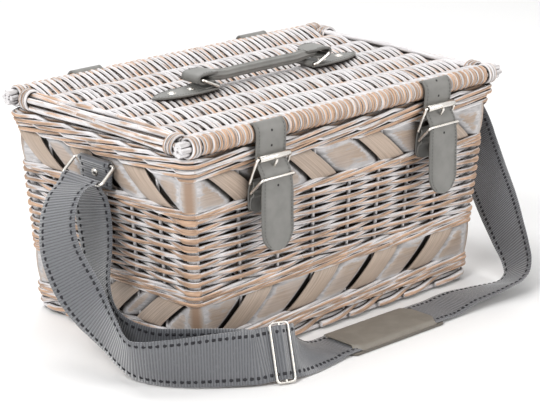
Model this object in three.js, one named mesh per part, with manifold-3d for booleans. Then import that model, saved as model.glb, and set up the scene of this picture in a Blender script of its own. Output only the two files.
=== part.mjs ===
// Willow picnic basket with a hinged lid, buckled closing straps, a carrying handle and a shoulder strap.
// Millimetres. X runs along the length, Y from front to rear, Z up, origin under the middle of the base.
import * as THREE from 'three';
import { mergeVertices } from 'three/addons/utils/BufferGeometryUtils.js';
import Module from 'manifold-3d';

const wasm = await Module();
wasm.setup();

// Clearances
const GAP = 0.3;
const RUNNING = 0.3;

// Basket body, measured over the chip-wood bands; each face flares out up to the upper band's top
const BASE_LENGTH = 377;
const BASE_DEPTH = 237;
const END_FLARE = 18.5;
const FRONT_FLARE = 5.5;
const FOOT_HEIGHT = 30;
const LOWER_BAND_HEIGHT = 32;
const LOWER_WALE_HEIGHT = 13;
const FIELD_HEIGHT = 74;
const UPPER_WALE_HEIGHT = 8;
const UPPER_BAND_HEIGHT = 30;
const BORDER_HEIGHT = 22;
const WALL = 9;
const SKIN = 3;
const POST_DIAMETER = 13;
const BASE_THICKNESS = 9;
const BAND_BULGE = 0.8;
const FOOT_PROUD = 2;
const WALE_PROUD = 1;
const BORDER_PROUD_LOW = 2.5;
const BORDER_PROUD_HIGH = 8;
const FOOT_RODS = 5;
const LOWER_WALE_RODS = 2;
const UPPER_WALE_RODS = 1;
const BORDER_RODS = 3;

// Lid
const LID_OVERHANG = 1.35;
const STICK_OVERHANG = 2.8;
const STICK_END = 24;
const ROLL_RADIUS = 10;
const STICK_RADIUS = 7.5;
const LID_PANEL_HALF = 2.2;
const RIDGE_HEIGHT = 5.3;
const RIDGE_PITCH = 38;
const LASHING_WIDTH = 12;
const LASHING_TURNS = 3;
const LASHING_PROUD = 0.5;
const END_ROD_WIDTH = 15;
const END_RODS = 3;

// Leather closing straps and hinge straps
const STRAP_X = 115;
const STRAP_WIDTH = 38;
const LEATHER = 2.4;
const STRAP_TIP_DROP = 89;
const TONGUE_SLOT_WIDTH = 6;
const TONGUE_SLOT_LENGTH = 10;
const TONGUE_SLOT_DROP = 10;
const HINGE_STRAP_DROP = 70;
const HINGE_STRAP_BEND = 9;

// Buckles
const ROLLER_DROP = 21.8;
const RIGHT_BUCKLE_RISE = 6.5;
const BUCKLE_WIRE = 3;
const ROLLER_RADIUS = 3.25;
const FRAME_DROP = 25;
const CHAPE_LEATHER = 2;
const CHAPE_SLAB = 4.2;
const CHAPE_DROP = 54;
const CHAPE_RIVET_DROP = 46;
const BAR_STANDOFF = 1;
const KEEPER_WIRE = 2.6;
const KEEPER_REACH = 6.5;
const KEEPER_BAR_DROP = 35;
const KEEPER_TOP_DROP = 18;
const TONGUE_THICKNESS = 3;
const TONGUE_WIDTH = 4.5;
const TONGUE_LENGTH = 27;
const WIRE_CORNER = 3.5;

// Rivets
const RIVET_HEAD = 4.8;
const RIVET_SHANK = 2;
const RIVET_RISE = 2.6;

// Carrying handle
const TAB_LEATHER = 2.2;
const TAB_FOLD_X = 66;
const TAB_TIP_X = 140;
const TAB_WIDTH = 25;
const TAB_BELLY = 28;
const TAB_RIVETS_X = [90, 115];
const HANDLE_WIRE = 3;
const HANDLE_FOLD_LEATHER = 1.7;
const RING_REACH = 20.5;
const RING_RISE = 9.2;
const GRIP_RADIUS = 5.4;
const GRIP_RISE = 18.6;
const GRIP_ROUND_X = 54;
const GRIP_NECK_X = 71;
const GRIP_END_LEATHER = 3;
const GRIP_EYE_LENGTH = 11.6;
const GRIP_EYE_PLAY = 1.2;
const GRIP_EYE_SPARE = 0.5;

// Side anchors
const ANCHOR_Z = 182;
const ANCHOR_DROP = 24;
const ANCHOR_WIDTH = 44;
const ANCHOR_LAYER = 1.6;
const SIDE_WIRE = 3.2;
const SIDE_RING_REACH = 16.8;
const SIDE_RING_DROP = 14.5;
const SIDE_RIVET_DROP = 10;

// Shoulder strap
const WEBBING_WIDTH = 50;
const WEBBING = 1.6;
const SLIDER_CENTRE = [-147.5, -187, 27.6];
const SLIDER_ALONG = [0.93, -0.3675, 0];
const SLIDER_LEAN = 23;
const SLIDER_LENGTH = 18;
const SLIDER_WIDTH = 55;
const SLIDER_WIRE = 2.4;
const PAD_LENGTH = 136;
const PAD_WIDTH = 56;
const PAD_THICKNESS = 6;
const PAD_CENTRE = [8, -165.5];
const PAD_SLOT_SIDE = 0.6;
const PAD_SLOT_FACE = 0.4;

// Shoulder strap route, from its sewn end at the slider up the inner layer to the left ring, down the outer
// layer, along the floor through slider and pad, and up to the right ring. Each point is the middle of the
// webbing, followed by the direction across its width.
const WEBBING_ROUTE = [
  [-149.5, -184, 26.8, 0.13, 0.37, 0.92],
  [-151.9, -181.7, 26.2, 0.15, 0.36, 0.92],
  [-155.1, -179.1, 25.8, 0.14, 0.36, 0.92],
  [-160.6, -176.5, 25.5, 0.11, 0.37, 0.92],
  [-168.1, -173.6, 25.1, 0.18, 0.23, 0.96],
  [-178.6, -162.7, 25.6, 0.17, 0.12, 0.98],
  [-189.2, -151.9, 26, 0.09, 0.07, 0.99],
  [-199.8, -141, 26.2, 0.03, 0.02, 1],
  [-210.3, -130.1, 26.1, 0, -0.01, 1],
  [-221, -119.4, 26.2, -0.01, -0.05, 1],
  [-231.2, -108.3, 26.9, -0.01, -0.14, 0.99],
  [-238.7, -95.4, 29.5, -0.03, -0.27, 0.96],
  [-244.1, -82, 33.9, -0.06, -0.39, 0.92],
  [-247.2, -68.6, 40.3, -0.09, -0.51, 0.86],
  [-247, -56.2, 48.9, -0.1, -0.62, 0.78],
  [-243.7, -45.5, 59.1, -0.11, -0.7, 0.71],
  [-238.8, -36.3, 70, -0.1, -0.76, 0.64],
  [-233, -28.2, 81.4, -0.08, -0.82, 0.57],
  [-227.4, -21, 93.5, -0.03, -0.87, 0.49],
  [-222.8, -14.5, 106.4, 0.01, -0.91, 0.41],
  [-219.7, -8.8, 120.1, 0.04, -0.94, 0.34],
  [-218.4, -4.2, 134.5, 0.06, -0.97, 0.25],
  [-219.3, -1.1, 149.2, 0.04, -0.99, 0.15],
  [-224.2, 0, 163.5, -0.02, -1, 0.05],
  [-225.1, 0, 167.5, 0, -1, 0],
  [-226, 0, 169.6, 0, -1, 0],
  [-228, 0, 170.5, 0, -1, 0],
  [-230.2, 0, 169.5, 0, -1, 0],
  [-236, 0, 165, 0.02, -0.99, 0.14],
  [-248.9, -2, 158.4, 0.06, -0.97, 0.25],
  [-258.9, -5.6, 148, 0.07, -0.95, 0.3],
  [-265.8, -10.4, 135.8, 0.09, -0.93, 0.34],
  [-270.1, -16, 122.8, 0.14, -0.91, 0.39],
  [-271.5, -22.4, 109.4, 0.21, -0.87, 0.45],
  [-270.4, -29.6, 96.4, 0.28, -0.81, 0.51],
  [-268.2, -37.3, 83.9, 0.32, -0.76, 0.56],
  [-265.7, -45.7, 71.8, 0.28, -0.73, 0.63],
  [-263.3, -55.4, 60.8, 0.14, -0.68, 0.72],
  [-261.7, -66.6, 51.1, -0.04, -0.63, 0.78],
  [-260.9, -78.5, 42.2, -0.17, -0.59, 0.79],
  [-261.1, -90.5, 33.5, -0.26, -0.51, 0.82],
  [-259.4, -103.7, 27, -0.3, -0.37, 0.88],
  [-252.7, -116.9, 25.3, -0.27, -0.23, 0.93],
  [-243.4, -128.5, 25.5, -0.19, -0.15, 0.97],
  [-232.9, -139, 25.9, -0.12, -0.08, 0.99],
  [-221.4, -148.4, 26.5, -0.05, -0.01, 1],
  [-209.1, -156.8, 27, 0.02, 0.06, 1],
  [-196.3, -164.3, 27, 0.09, 0.12, 0.99],
  [-182.8, -170.6, 26.5, 0.14, 0.21, 0.97],
  [-169.2, -176.6, 25.8, 0.13, 0.32, 0.94],
  [-160.6, -179.4, 26.4, 0.08, 0.39, 0.92],
  [-155.1, -181.6, 26.6, 0.13, 0.37, 0.92],
  [-151.7, -185.3, 27.6, 0.14, 0.36, 0.92],
  [-148.3, -189, 28.6, 0.14, 0.36, 0.92],
  [-143.3, -188.7, 27.6, 0.15, 0.36, 0.92],
  [-138.4, -188.2, 26.6, 0.12, 0.36, 0.92],
  [-130.8, -187.7, 25.6, 0.15, 0.37, 0.92],
  [-121.1, -182.4, 21.5, 0.05, 0.59, 0.81],
  [-111.1, -177.8, 17.5, -0.05, 0.76, 0.65],
  [-100.8, -173.8, 13.4, -0.11, 0.87, 0.49],
  [-90.2, -170.5, 9.4, -0.14, 0.93, 0.32],
  [-79.1, -167.9, 5.9, -0.14, 0.97, 0.18],
  [-70.5, -166.2, 4.1, -0.09, 0.99, 0.05],
  [-62, -165.5, 3, 0, 1, 0],
  [-50, -165.5, 3, 0, 1, 0],
  [8, -165.5, 3, 0, 1, 0],
  [78, -165.5, 3, 0, 1, 0],
  [100, -165.5, 3, 0, 1, 0],
  [112.8, -165.6, 5, 0.02, 1, -0.04],
  [125.7, -165.9, 6.6, 0.06, 1, -0.08],
  [138.7, -166.9, 7.1, 0.09, 0.99, -0.11],
  [151.6, -168.2, 7.4, 0.11, 0.98, -0.16],
  [164.5, -169.7, 7.8, 0.13, 0.97, -0.2],
  [177.4, -171.3, 8.6, 0.15, 0.95, -0.27],
  [190.2, -173.3, 9.7, 0.14, 0.93, -0.34],
  [202.3, -173.2, 13.6, 0.1, 0.88, -0.47],
  [211.7, -169.5, 21.6, 0.12, 0.8, -0.59],
  [216.5, -162.4, 31.3, 0.09, 0.75, -0.65],
  [220.4, -154.1, 40.5, 0.01, 0.71, -0.7],
  [224.4, -145, 48.9, -0.09, 0.68, -0.73],
  [229.6, -135.7, 56.3, -0.18, 0.65, -0.74],
  [235.3, -126.1, 62.9, -0.26, 0.62, -0.74],
  [241.6, -116.2, 68.5, -0.33, 0.6, -0.73],
  [248.3, -106.2, 73.4, -0.37, 0.59, -0.72],
  [255.4, -96.2, 77.7, -0.4, 0.58, -0.71],
  [262.7, -86.2, 81.7, -0.41, 0.58, -0.7],
  [270.3, -76.3, 85.4, -0.42, 0.59, -0.69],
  [277.7, -66.5, 89.5, -0.41, 0.61, -0.68],
  [285, -56.7, 94, -0.4, 0.63, -0.67],
  [291.8, -47, 99.4, -0.37, 0.66, -0.65],
  [297.8, -37.6, 106, -0.34, 0.7, -0.63],
  [303, -28.7, 113.9, -0.31, 0.74, -0.6],
  [306.1, -20.3, 123.3, -0.27, 0.78, -0.57],
  [306.3, -13, 133.9, -0.22, 0.82, -0.53],
  [303.1, -7.1, 145, -0.17, 0.86, -0.47],
  [296.5, -3.1, 155.5, -0.12, 0.91, -0.4],
  [287.1, -0.8, 164, -0.08, 0.95, -0.31],
  [275.7, 0, 170.1, -0.03, 0.98, -0.22],
  [263, 0.2, 172.3, -0.01, 0.99, -0.11],
  [250, 0, 172.5, -0.01, 1, 0],
  [236, 0, 171.8, 0, 1, 0],
  [228, 0, 170.5, 0, 1, 0],
  [225.9, 0, 169.6, 0, 1, 0],
  [225.1, 0, 167.5, 0, 1, 0],
  [225.9, 0, 165.4, 0, 1, 0],
  [228, 0, 164.5, 0, 1, 0],
  [237, 0, 168.2, 0.04, 1, 0.01],
  [250, -1, 169.3, 0.08, 1, 0],
  [256, -1.6, 169.1, 0.1, 1, 0],
];

// Levels and slopes that follow from the sizes
const LOWER_BAND_TOP = FOOT_HEIGHT + LOWER_BAND_HEIGHT;
const FIELD_BOTTOM = LOWER_BAND_TOP + LOWER_WALE_HEIGHT;
const FIELD_TOP = FIELD_BOTTOM + FIELD_HEIGHT;
const UPPER_BAND_BOTTOM = FIELD_TOP + UPPER_WALE_HEIGHT;
const UPPER_BAND_TOP = UPPER_BAND_BOTTOM + UPPER_BAND_HEIGHT;
const BORDER_TOP = UPPER_BAND_TOP + BORDER_HEIGHT;
const LEAN_X = END_FLARE / UPPER_BAND_TOP;
const LEAN_Y = FRONT_FLARE / UPPER_BAND_TOP;
const BORDER_X = BASE_LENGTH / 2 + LEAN_X * BORDER_TOP + BORDER_PROUD_HIGH;
const BORDER_Y = BASE_DEPTH / 2 + LEAN_Y * BORDER_TOP + BORDER_PROUD_HIGH;
const WALL_X = BASE_LENGTH / 2 - SKIN;
const WALL_Y = BASE_DEPTH / 2 - SKIN;
const LID_HALF_SPAN = BORDER_Y + LID_OVERHANG - ROLL_RADIUS;
const STICK_HALF = BORDER_X + STICK_OVERHANG;
const WRAPPED_HALF = STICK_HALF - STICK_END;
const ROLL_Z = BORDER_TOP + GAP + LASHING_PROUD + ROLL_RADIUS;
const STRAP_RADIUS = ROLL_RADIUS + RUNNING + LEATHER / 2;
const SIDES = [-1, 1];

const MATERIALS = {
  willow: new THREE.MeshStandardMaterial({ color: 0xcbb39c, roughness: 0.75, metalness: 0 }),
  chip: new THREE.MeshStandardMaterial({ color: 0xb0a396, roughness: 0.7, metalness: 0 }),
  cane: new THREE.MeshStandardMaterial({ color: 0xc2a183, roughness: 0.65, metalness: 0 }),
  leather: new THREE.MeshStandardMaterial({ color: 0x93938b, roughness: 0.5, metalness: 0 }),
  padLeather: new THREE.MeshStandardMaterial({ color: 0x7f7a70, roughness: 0.5, metalness: 0 }),
  webbing: new THREE.MeshStandardMaterial({ color: 0x6f7279, roughness: 0.7, metalness: 0 }),
  nickel: new THREE.MeshStandardMaterial({ color: 0xc9c6c0, roughness: 0.25, metalness: 1 }),
};

// Signed volume of an indexed closed mesh, positive when its faces point out.
function signedVolume(geometry) {
  const p = geometry.attributes.position;
  const corner = [new THREE.Vector3(), new THREE.Vector3(), new THREE.Vector3()];
  let six = 0;
  for (let i = 0; i < geometry.index.count; i += 3) {
    corner.forEach((v, k) => v.fromBufferAttribute(p, geometry.index.getX(i + k)));
    six += corner[0].dot(corner[1].clone().cross(corner[2]));
  }
  return six / 6;
}

// A geometry with shared vertices merged and its faces turned outwards.
function closed(geometry) {
  const bare = new THREE.BufferGeometry();
  bare.setAttribute('position', geometry.attributes.position.clone());
  if (geometry.index) bare.setIndex([...geometry.index.array]);
  const merged = mergeVertices(bare, 1e-4);
  const index = [];
  for (let i = 0; i < merged.index.count; i += 3) {
    const [a, b, c] = [0, 1, 2].map((k) => merged.index.getX(i + k));
    if (a !== b && b !== c && c !== a) index.push(a, b, c);
  }
  merged.setIndex(index);
  if (signedVolume(merged) < 0) {
    for (let i = 0; i < index.length; i += 3) [index[i], index[i + 1]] = [index[i + 1], index[i]];
    merged.setIndex(index);
  }
  return merged;
}

function solid(geometry) {
  const mesh = closed(geometry);
  return new wasm.Manifold(new wasm.Mesh({
    numProp: 3,
    vertProperties: new Float32Array(mesh.attributes.position.array),
    triVerts: new Uint32Array(mesh.index.array),
  }));
}

function fromSolid(manifold) {
  const mesh = manifold.getMesh();
  const geometry = new THREE.BufferGeometry();
  geometry.setAttribute('position', new THREE.BufferAttribute(mesh.vertProperties, 3));
  geometry.setIndex([...mesh.triVerts]);
  return geometry;
}

function join(first, ...others) {
  return fromSolid(others.reduce((sum, other) => sum.add(solid(other)), solid(first)));
}

function cut(body, ...tools) {
  return fromSolid(tools.reduce((rest, tool) => rest.subtract(solid(tool)), solid(body)));
}

function common(first, second) {
  return fromSolid(solid(first).intersect(solid(second)));
}

// A closed mesh through rings of points; the ends are capped unless the rings close on themselves.
function loft(rings, endless) {
  const count = rings[0].length;
  const index = [];
  const spans = endless ? rings.length : rings.length - 1;
  for (let i = 0; i < spans; i++) {
    const a = i * count;
    const b = ((i + 1) % rings.length) * count;
    for (let j = 0; j < count; j++) {
      const k = (j + 1) % count;
      index.push(a + j, b + j, b + k, a + j, b + k, a + k);
    }
  }
  const end = (rings.length - 1) * count;
  for (let j = 1; j < count - 1 && !endless; j++) {
    index.push(0, j, j + 1, end, end + j + 1, end + j);
  }
  const geometry = new THREE.BufferGeometry();
  const numbers = rings.flat().flatMap((p) => [p.x, p.y, p.z]);
  geometry.setAttribute('position', new THREE.Float32BufferAttribute(numbers, 3));
  geometry.setIndex(index);
  return geometry;
}

// A geometry carried from its own axes to an origin with the given X and Y directions.
function place(geometry, origin, xAxis, yAxis) {
  const x = new THREE.Vector3(...xAxis).normalize();
  const y = new THREE.Vector3(...yAxis).normalize();
  const matrix = new THREE.Matrix4().makeBasis(x, y, x.clone().cross(y));
  return geometry.applyMatrix4(matrix.setPosition(...origin));
}

// A side view, drawn in Y and Z, given a width along X.
function acrossX(shape, width) {
  const geometry = new THREE.ExtrudeGeometry(shape, { depth: width, bevelEnabled: false, curveSegments: 6 });
  return place(geometry.translate(0, 0, -width / 2), [0, 0, 0], [0, 1, 0], [0, 0, 1]);
}

// A front view, drawn in X and Z, given a width along Y.
function acrossY(shape, width) {
  const geometry = new THREE.ExtrudeGeometry(shape, { depth: width, bevelEnabled: false, curveSegments: 6 });
  return place(geometry.translate(0, 0, -width / 2), [0, 0, 0], [1, 0, 0], [0, 0, 1]);
}

function barX(length, radius, y, z) {
  return new THREE.CylinderGeometry(radius, radius, length, 12).rotateZ(Math.PI / 2).translate(0, y, z);
}

function barY(length, radius, x, z) {
  return new THREE.CylinderGeometry(radius, radius, length, 12).translate(x, 0, z);
}

function block(sizeX, sizeY, sizeZ, x, y, z) {
  return new THREE.BoxGeometry(sizeX, sizeY, sizeZ).translate(x, y, z);
}

// The outline of a strip of even thickness along a line of points.
function ribbon(points, thickness) {
  const sides = [[], []];
  points.forEach((p, i) => {
    const before = points[Math.max(i - 1, 0)];
    const after = points[Math.min(i + 1, points.length - 1)];
    const along = after.clone().sub(before).normalize();
    const off = new THREE.Vector2(-along.y, along.x).multiplyScalar(thickness / 2);
    sides[0].push(p.clone().add(off));
    sides[1].unshift(p.clone().sub(off));
  });
  return new THREE.Shape([...sides[0], ...sides[1]]);
}

// Points on an arc round a centre, from one angle to another in degrees.
function arc(y, z, radius, from, to, steps) {
  return Array.from({ length: steps + 1 }, (_, i) => {
    const angle = THREE.MathUtils.degToRad(from + ((to - from) * i) / steps);
    return new THREE.Vector2(y + radius * Math.cos(angle), z + radius * Math.sin(angle));
  });
}

// A rectangular wire loop with round corners, its first bar on the X axis and the second at the height.
function wireLoop(halfWidth, height, wire, corner) {
  const centres = [[1, 0], [1, 1], [-1, 1], [-1, 0]];
  const rings = [];
  centres.forEach(([side, top], quarter) => {
    for (let k = 0; k <= 3; k++) {
      const angle = (quarter - 1 + k / 3) * (Math.PI / 2);
      const out = new THREE.Vector3(Math.cos(angle), Math.sin(angle), 0);
      const middle = new THREE.Vector3(side * (halfWidth - corner), top ? height - corner : corner, 0);
      const ring = [];
      for (let j = 0; j < 8; j++) {
        const turn = (j / 8) * Math.PI * 2;
        const reach = corner + (wire / 2) * Math.cos(turn);
        ring.push(middle.clone().addScaledVector(out, reach).setZ((wire / 2) * Math.sin(turn)));
      }
      rings.push(ring);
    }
  });
  return loft(rings, true);
}

// A domed rivet along +Y: its shank starts at the origin and its head sits above the given grip.
function rivet(grip) {
  const shank = [[0, 0], [RIVET_SHANK, 0], [RIVET_SHANK, grip]];
  const profile = shank.map(([x, y]) => new THREE.Vector2(x, y));
  for (let k = 0; k <= 4; k++) {
    const angle = (k / 4) * (Math.PI / 2);
    profile.push(new THREE.Vector2(RIVET_HEAD * Math.cos(angle), grip + RIVET_RISE * Math.sin(angle)));
  }
  profile[profile.length - 1].x = 0;
  return new THREE.LatheGeometry(profile, 12);
}

// Upright work leans outwards with height, as the basket does.
function flare(geometry) {
  const p = geometry.attributes.position;
  for (let i = 0; i < p.count; i++) {
    const z = p.getZ(i);
    p.setX(i, p.getX(i) + Math.sign(p.getX(i)) * LEAN_X * z);
    p.setY(i, p.getY(i) + Math.sign(p.getY(i)) * LEAN_Y * z);
  }
  return geometry;
}

// A band round the basket: a section drawn as offsets from the bands' face and heights.
function girdle(section) {
  const cornerRadius = POST_DIAMETER / 2 + SKIN;
  const corners = [[1, 1], [-1, 1], [-1, -1], [1, -1]];
  const rings = corners.flatMap(([sideX, sideY], quarter) => [0, 1, 2, 3, 4].map((k) => {
    const angle = (quarter + k / 4) * (Math.PI / 2);
    return section.map(([offset, z]) => new THREE.Vector3(
      sideX * (BASE_LENGTH / 2 - cornerRadius) + (cornerRadius + offset) * Math.cos(angle),
      sideY * (BASE_DEPTH / 2 - cornerRadius) + (cornerRadius + offset) * Math.sin(angle),
      z,
    ));
  }));
  return flare(loft(rings, true));
}

// The section of a stack of rods between two heights, standing proud by more towards the top if asked.
function rodSection(bottom, top, rods, proudLow, proudHigh, inner) {
  const section = [[inner, bottom]];
  const height = (top - bottom) / rods;
  for (let rod = 0; rod < rods; rod++) {
    const share = rods > 1 ? rod / (rods - 1) : 0;
    const proud = proudLow + (proudHigh - proudLow) * share;
    for (let k = rod ? 1 : 0; k <= 4; k++) {
      const angle = (k / 4 - 0.5) * Math.PI;
      const z = bottom + height * (rod + 0.5 + Math.sin(angle) / 2);
      section.push([proud - (height / 3) * (1 - Math.cos(angle)), z]);
    }
  }
  section.push([inner, top]);
  return section;
}

function chipSection(bottom, top, inner) {
  const middle = (bottom + top) / 2;
  return [[inner, bottom], [0, bottom], [BAND_BULGE, middle], [0, top], [inner, top]];
}

// Distance from the middle to the outer face of the bands at a height.
const PROUDEST = Math.max(BAND_BULGE, WALE_PROUD);
const frontFace = (z) => BASE_DEPTH / 2 + LEAN_Y * z + PROUDEST;
const sideFace = (z) => BASE_LENGTH / 2 + LEAN_X * z + PROUDEST;

const basket = new THREE.Group();

function add(name, geometry, material) {
  const mesh = new THREE.Mesh(closed(geometry), MATERIALS[material]);
  mesh.geometry.computeVertexNormals();
  mesh.name = name;
  basket.add(mesh);
}

function addBody() {
  const wallTop = UPPER_BAND_TOP - GAP / 2;
  const endX = WALL_X - POST_DIAMETER - GAP;
  const endY = WALL_Y - POST_DIAMETER - GAP;
  const innerX = WALL_X - WALL - GAP;
  const innerY = WALL_Y - WALL - GAP;
  const upright = (sizeX, sizeY, x, y) => flare(block(sizeX, sizeY, wallTop, x, y, wallTop / 2));
  const base = block(2 * innerX, 2 * innerY, BASE_THICKNESS, 0, 0, BASE_THICKNESS / 2);
  const notch = 2 * (POST_DIAMETER - WALL);
  const notches = SIDES.flatMap((sideX) => SIDES.map(
    (sideY) => block(notch, notch, 3 * BASE_THICKNESS, sideX * innerX, sideY * innerY, 0),
  ));
  add('base_panel', flare(cut(base, ...notches)), 'willow');
  add('front_wall', upright(2 * endX, WALL, 0, WALL / 2 - WALL_Y), 'willow');
  add('rear_wall', upright(2 * endX, WALL, 0, WALL_Y - WALL / 2), 'willow');
  add('left_wall', upright(WALL, 2 * endY, WALL / 2 - WALL_X, 0), 'willow');
  add('right_wall', upright(WALL, 2 * endY, WALL_X - WALL / 2, 0), 'willow');
  for (const sideX of SIDES) {
    for (const sideY of SIDES) {
      const post = new THREE.CylinderGeometry(POST_DIAMETER / 2, POST_DIAMETER / 2, wallTop, 12);
      const x = sideX * (WALL_X - POST_DIAMETER / 2);
      const y = sideY * (WALL_Y - POST_DIAMETER / 2);
      const name = `corner_post_${sideY < 0 ? 'front' : 'rear'}_${sideX < 0 ? 'left' : 'right'}`;
      add(name, flare(post.rotateX(Math.PI / 2).translate(x, y, wallTop / 2)), 'willow');
    }
  }
  const skin = GAP - SKIN;
  const half = GAP / 2;
  const footRods = rodSection(0, FOOT_HEIGHT - half, FOOT_RODS, FOOT_PROUD, FOOT_PROUD, skin);
  add('foot_wale', girdle(footRods), 'willow');
  add('lower_chip_band', girdle(chipSection(FOOT_HEIGHT + half, LOWER_BAND_TOP - half, skin)), 'chip');
  const lowerRods = rodSection(
    LOWER_BAND_TOP + half, FIELD_BOTTOM, LOWER_WALE_RODS, WALE_PROUD, WALE_PROUD, skin,
  );
  add('lower_wale', girdle(lowerRods), 'willow');
  const upperRods = rodSection(
    FIELD_TOP, UPPER_BAND_BOTTOM - half, UPPER_WALE_RODS, WALE_PROUD, WALE_PROUD, skin,
  );
  add('upper_wale', girdle(upperRods), 'willow');
  add('upper_chip_band', girdle(chipSection(UPPER_BAND_BOTTOM + half, UPPER_BAND_TOP - half, skin)), 'chip');
  const borderRods = rodSection(
    UPPER_BAND_TOP + half, BORDER_TOP, BORDER_RODS,
    BORDER_PROUD_LOW, BORDER_PROUD_HIGH, -SKIN - POST_DIAMETER / 2,
  );
  add('top_border', girdle(borderRods), 'willow');
}

// A notch in the lid panel's edge where a strap passes round a roll.
function strapNotch(side, x) {
  const clear = ROLL_RADIUS + RUNNING + LEATHER + GAP;
  const inner = LID_HALF_SPAN - clear;
  const depth = LID_HALF_SPAN - inner;
  const height = 4 * (LID_PANEL_HALF + RIDGE_HEIGHT);
  return block(STRAP_WIDTH + 2 * GAP, depth, height, x, side * (inner + depth / 2), ROLL_Z);
}

function addLid() {
  const edge = LID_HALF_SPAN - ROLL_RADIUS - GAP;
  const surface = [];
  for (let i = 0; i <= 48; i++) {
    const y = -edge + (2 * edge * i) / 48;
    const wave = 0.5 + 0.5 * Math.cos((2 * Math.PI * y) / RIDGE_PITCH);
    surface.push(new THREE.Vector2(y, ROLL_Z + LID_PANEL_HALF + RIDGE_HEIGHT * wave));
  }
  const under = surface.map((p) => new THREE.Vector2(p.x, 2 * ROLL_Z - p.y));
  const slab = acrossX(new THREE.Shape([...under, ...surface.reverse()]), 2 * WRAPPED_HALF);
  const notches = SIDES.flatMap((side) => SIDES.map((end) => strapNotch(side, end * STRAP_X)));
  add('lid_panel', cut(slab, ...notches), 'willow');

  const wrapped = WRAPPED_HALF;
  const half = STICK_HALF;
  const rollProfile = [
    [0, -half], [STICK_RADIUS, -half], [STICK_RADIUS, -wrapped], [ROLL_RADIUS, -wrapped],
    [ROLL_RADIUS, wrapped], [STICK_RADIUS, wrapped], [STICK_RADIUS, half], [0, half],
  ].map(([r, x]) => new THREE.Vector2(r, x));
  const lashingProfile = [new THREE.Vector2(STICK_RADIUS + GAP, 0)];
  const turn = LASHING_WIDTH / LASHING_TURNS;
  for (let k = 0; k <= 4 * LASHING_TURNS; k++) {
    const bulge = Math.abs(Math.sin((k / 4) * Math.PI));
    lashingProfile.push(new THREE.Vector2(ROLL_RADIUS - 1 + (1 + LASHING_PROUD) * bulge, (k / 4) * turn));
  }
  lashingProfile.push(new THREE.Vector2(STICK_RADIUS + GAP, LASHING_WIDTH), lashingProfile[0].clone());
  for (const side of SIDES) {
    const row = side < 0 ? 'front' : 'rear';
    const roll = new THREE.LatheGeometry(rollProfile, 16).rotateZ(-Math.PI / 2);
    add(`lid_${row}_roll`, roll.translate(0, side * LID_HALF_SPAN, ROLL_Z), 'willow');
    for (const end of SIDES) {
      const lashing = new THREE.LatheGeometry(lashingProfile, 16).rotateZ(-Math.PI / 2);
      const x = end < 0 ? -wrapped - GAP - LASHING_WIDTH : wrapped + GAP;
      const name = `lid_lashing_${row}_${end < 0 ? 'left' : 'right'}`;
      add(name, lashing.translate(x, side * LID_HALF_SPAN, ROLL_Z), 'cane');
    }
  }

  const rodTop = 2 * ROLL_Z - BORDER_TOP - GAP;
  const reach = LID_HALF_SPAN - ROLL_RADIUS - LASHING_PROUD - GAP;
  for (const end of SIDES) {
    const near = wrapped + GAP;
    const points = rodSection(BORDER_TOP + GAP, rodTop, END_RODS, END_ROD_WIDTH, END_ROD_WIDTH, 0);
    const outline = points.map(([offset, z]) => new THREE.Vector2(end * (near + offset), z));
    const rods = acrossY(new THREE.Shape(outline), 2 * reach);
    add(`lid_${end < 0 ? 'left' : 'right'}_end_rods`, rods, 'willow');
  }
}

// Each buckle and strap hangs at its own height; these are the lines that its pieces share.
function buckleLines(rise) {
  const rollerZ = ROLL_Z - ROLLER_DROP + rise;
  const barZ = rollerZ - FRAME_DROP;
  const strapY = -LID_HALF_SPAN - STRAP_RADIUS;
  const rollerY = strapY - LEATHER / 2 - GAP - ROLLER_RADIUS;
  const slabBack = -frontFace(barZ + 2 * CHAPE_SLAB) - GAP;
  const slabFront = slabBack - CHAPE_SLAB;
  const keeperY = rollerY - KEEPER_REACH;
  const keeperBarZ = rollerZ - KEEPER_BAR_DROP;
  const keeperZ = rollerZ - KEEPER_TOP_DROP;
  const barY = slabFront - BAR_STANDOFF;
  return { rollerZ, barZ, strapY, rollerY, slabBack, slabFront, keeperY, keeperBarZ, keeperZ, barY };
}

function addFrontStrap(name, x, lines) {
  const held = lines.keeperY + KEEPER_WIRE / 2 + GAP + LEATHER / 2;
  const tip = lines.rollerZ - STRAP_TIP_DROP;
  const over = arc(-LID_HALF_SPAN, ROLL_Z, STRAP_RADIUS, 0, 180, 10);
  const hanging = new THREE.SplineCurve([
    new THREE.Vector2(lines.strapY, ROLL_Z - 4),
    new THREE.Vector2(lines.strapY, lines.rollerZ + 1),
    new THREE.Vector2(lines.strapY - 0.6, lines.rollerZ - 3),
    new THREE.Vector2(held + 1, lines.keeperZ + 3),
    new THREE.Vector2(held, lines.keeperZ),
    new THREE.Vector2(held - 1, lines.keeperZ - 8),
    new THREE.Vector2(held - 1.6, (lines.keeperZ + tip) / 2),
    new THREE.Vector2(held - 3.5, tip),
  ]);
  const strip = acrossX(ribbon([...over, ...hanging.getPoints(28)], LEATHER), STRAP_WIDTH);
  const half = STRAP_WIDTH / 2;
  const front = new THREE.Shape();
  front.moveTo(-half - 1, ROLL_Z + 2 * STRAP_RADIUS);
  front.lineTo(-half - 1, tip + half);
  front.bezierCurveTo(-half, tip + 3, -half / 2, tip, 0, tip);
  front.bezierCurveTo(half / 2, tip, half, tip + 3, half + 1, tip + half);
  front.lineTo(half + 1, ROLL_Z + 2 * STRAP_RADIUS);
  const shaped = common(strip, acrossY(front, 4 * LID_HALF_SPAN));
  const slotZ = lines.rollerZ - TONGUE_SLOT_DROP;
  const slot = block(TONGUE_SLOT_WIDTH, 8 * LEATHER, TONGUE_SLOT_LENGTH, 0, held, slotZ);
  add(name, cut(shaped, slot).translate(x, 0, 0), 'leather');
}

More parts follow.
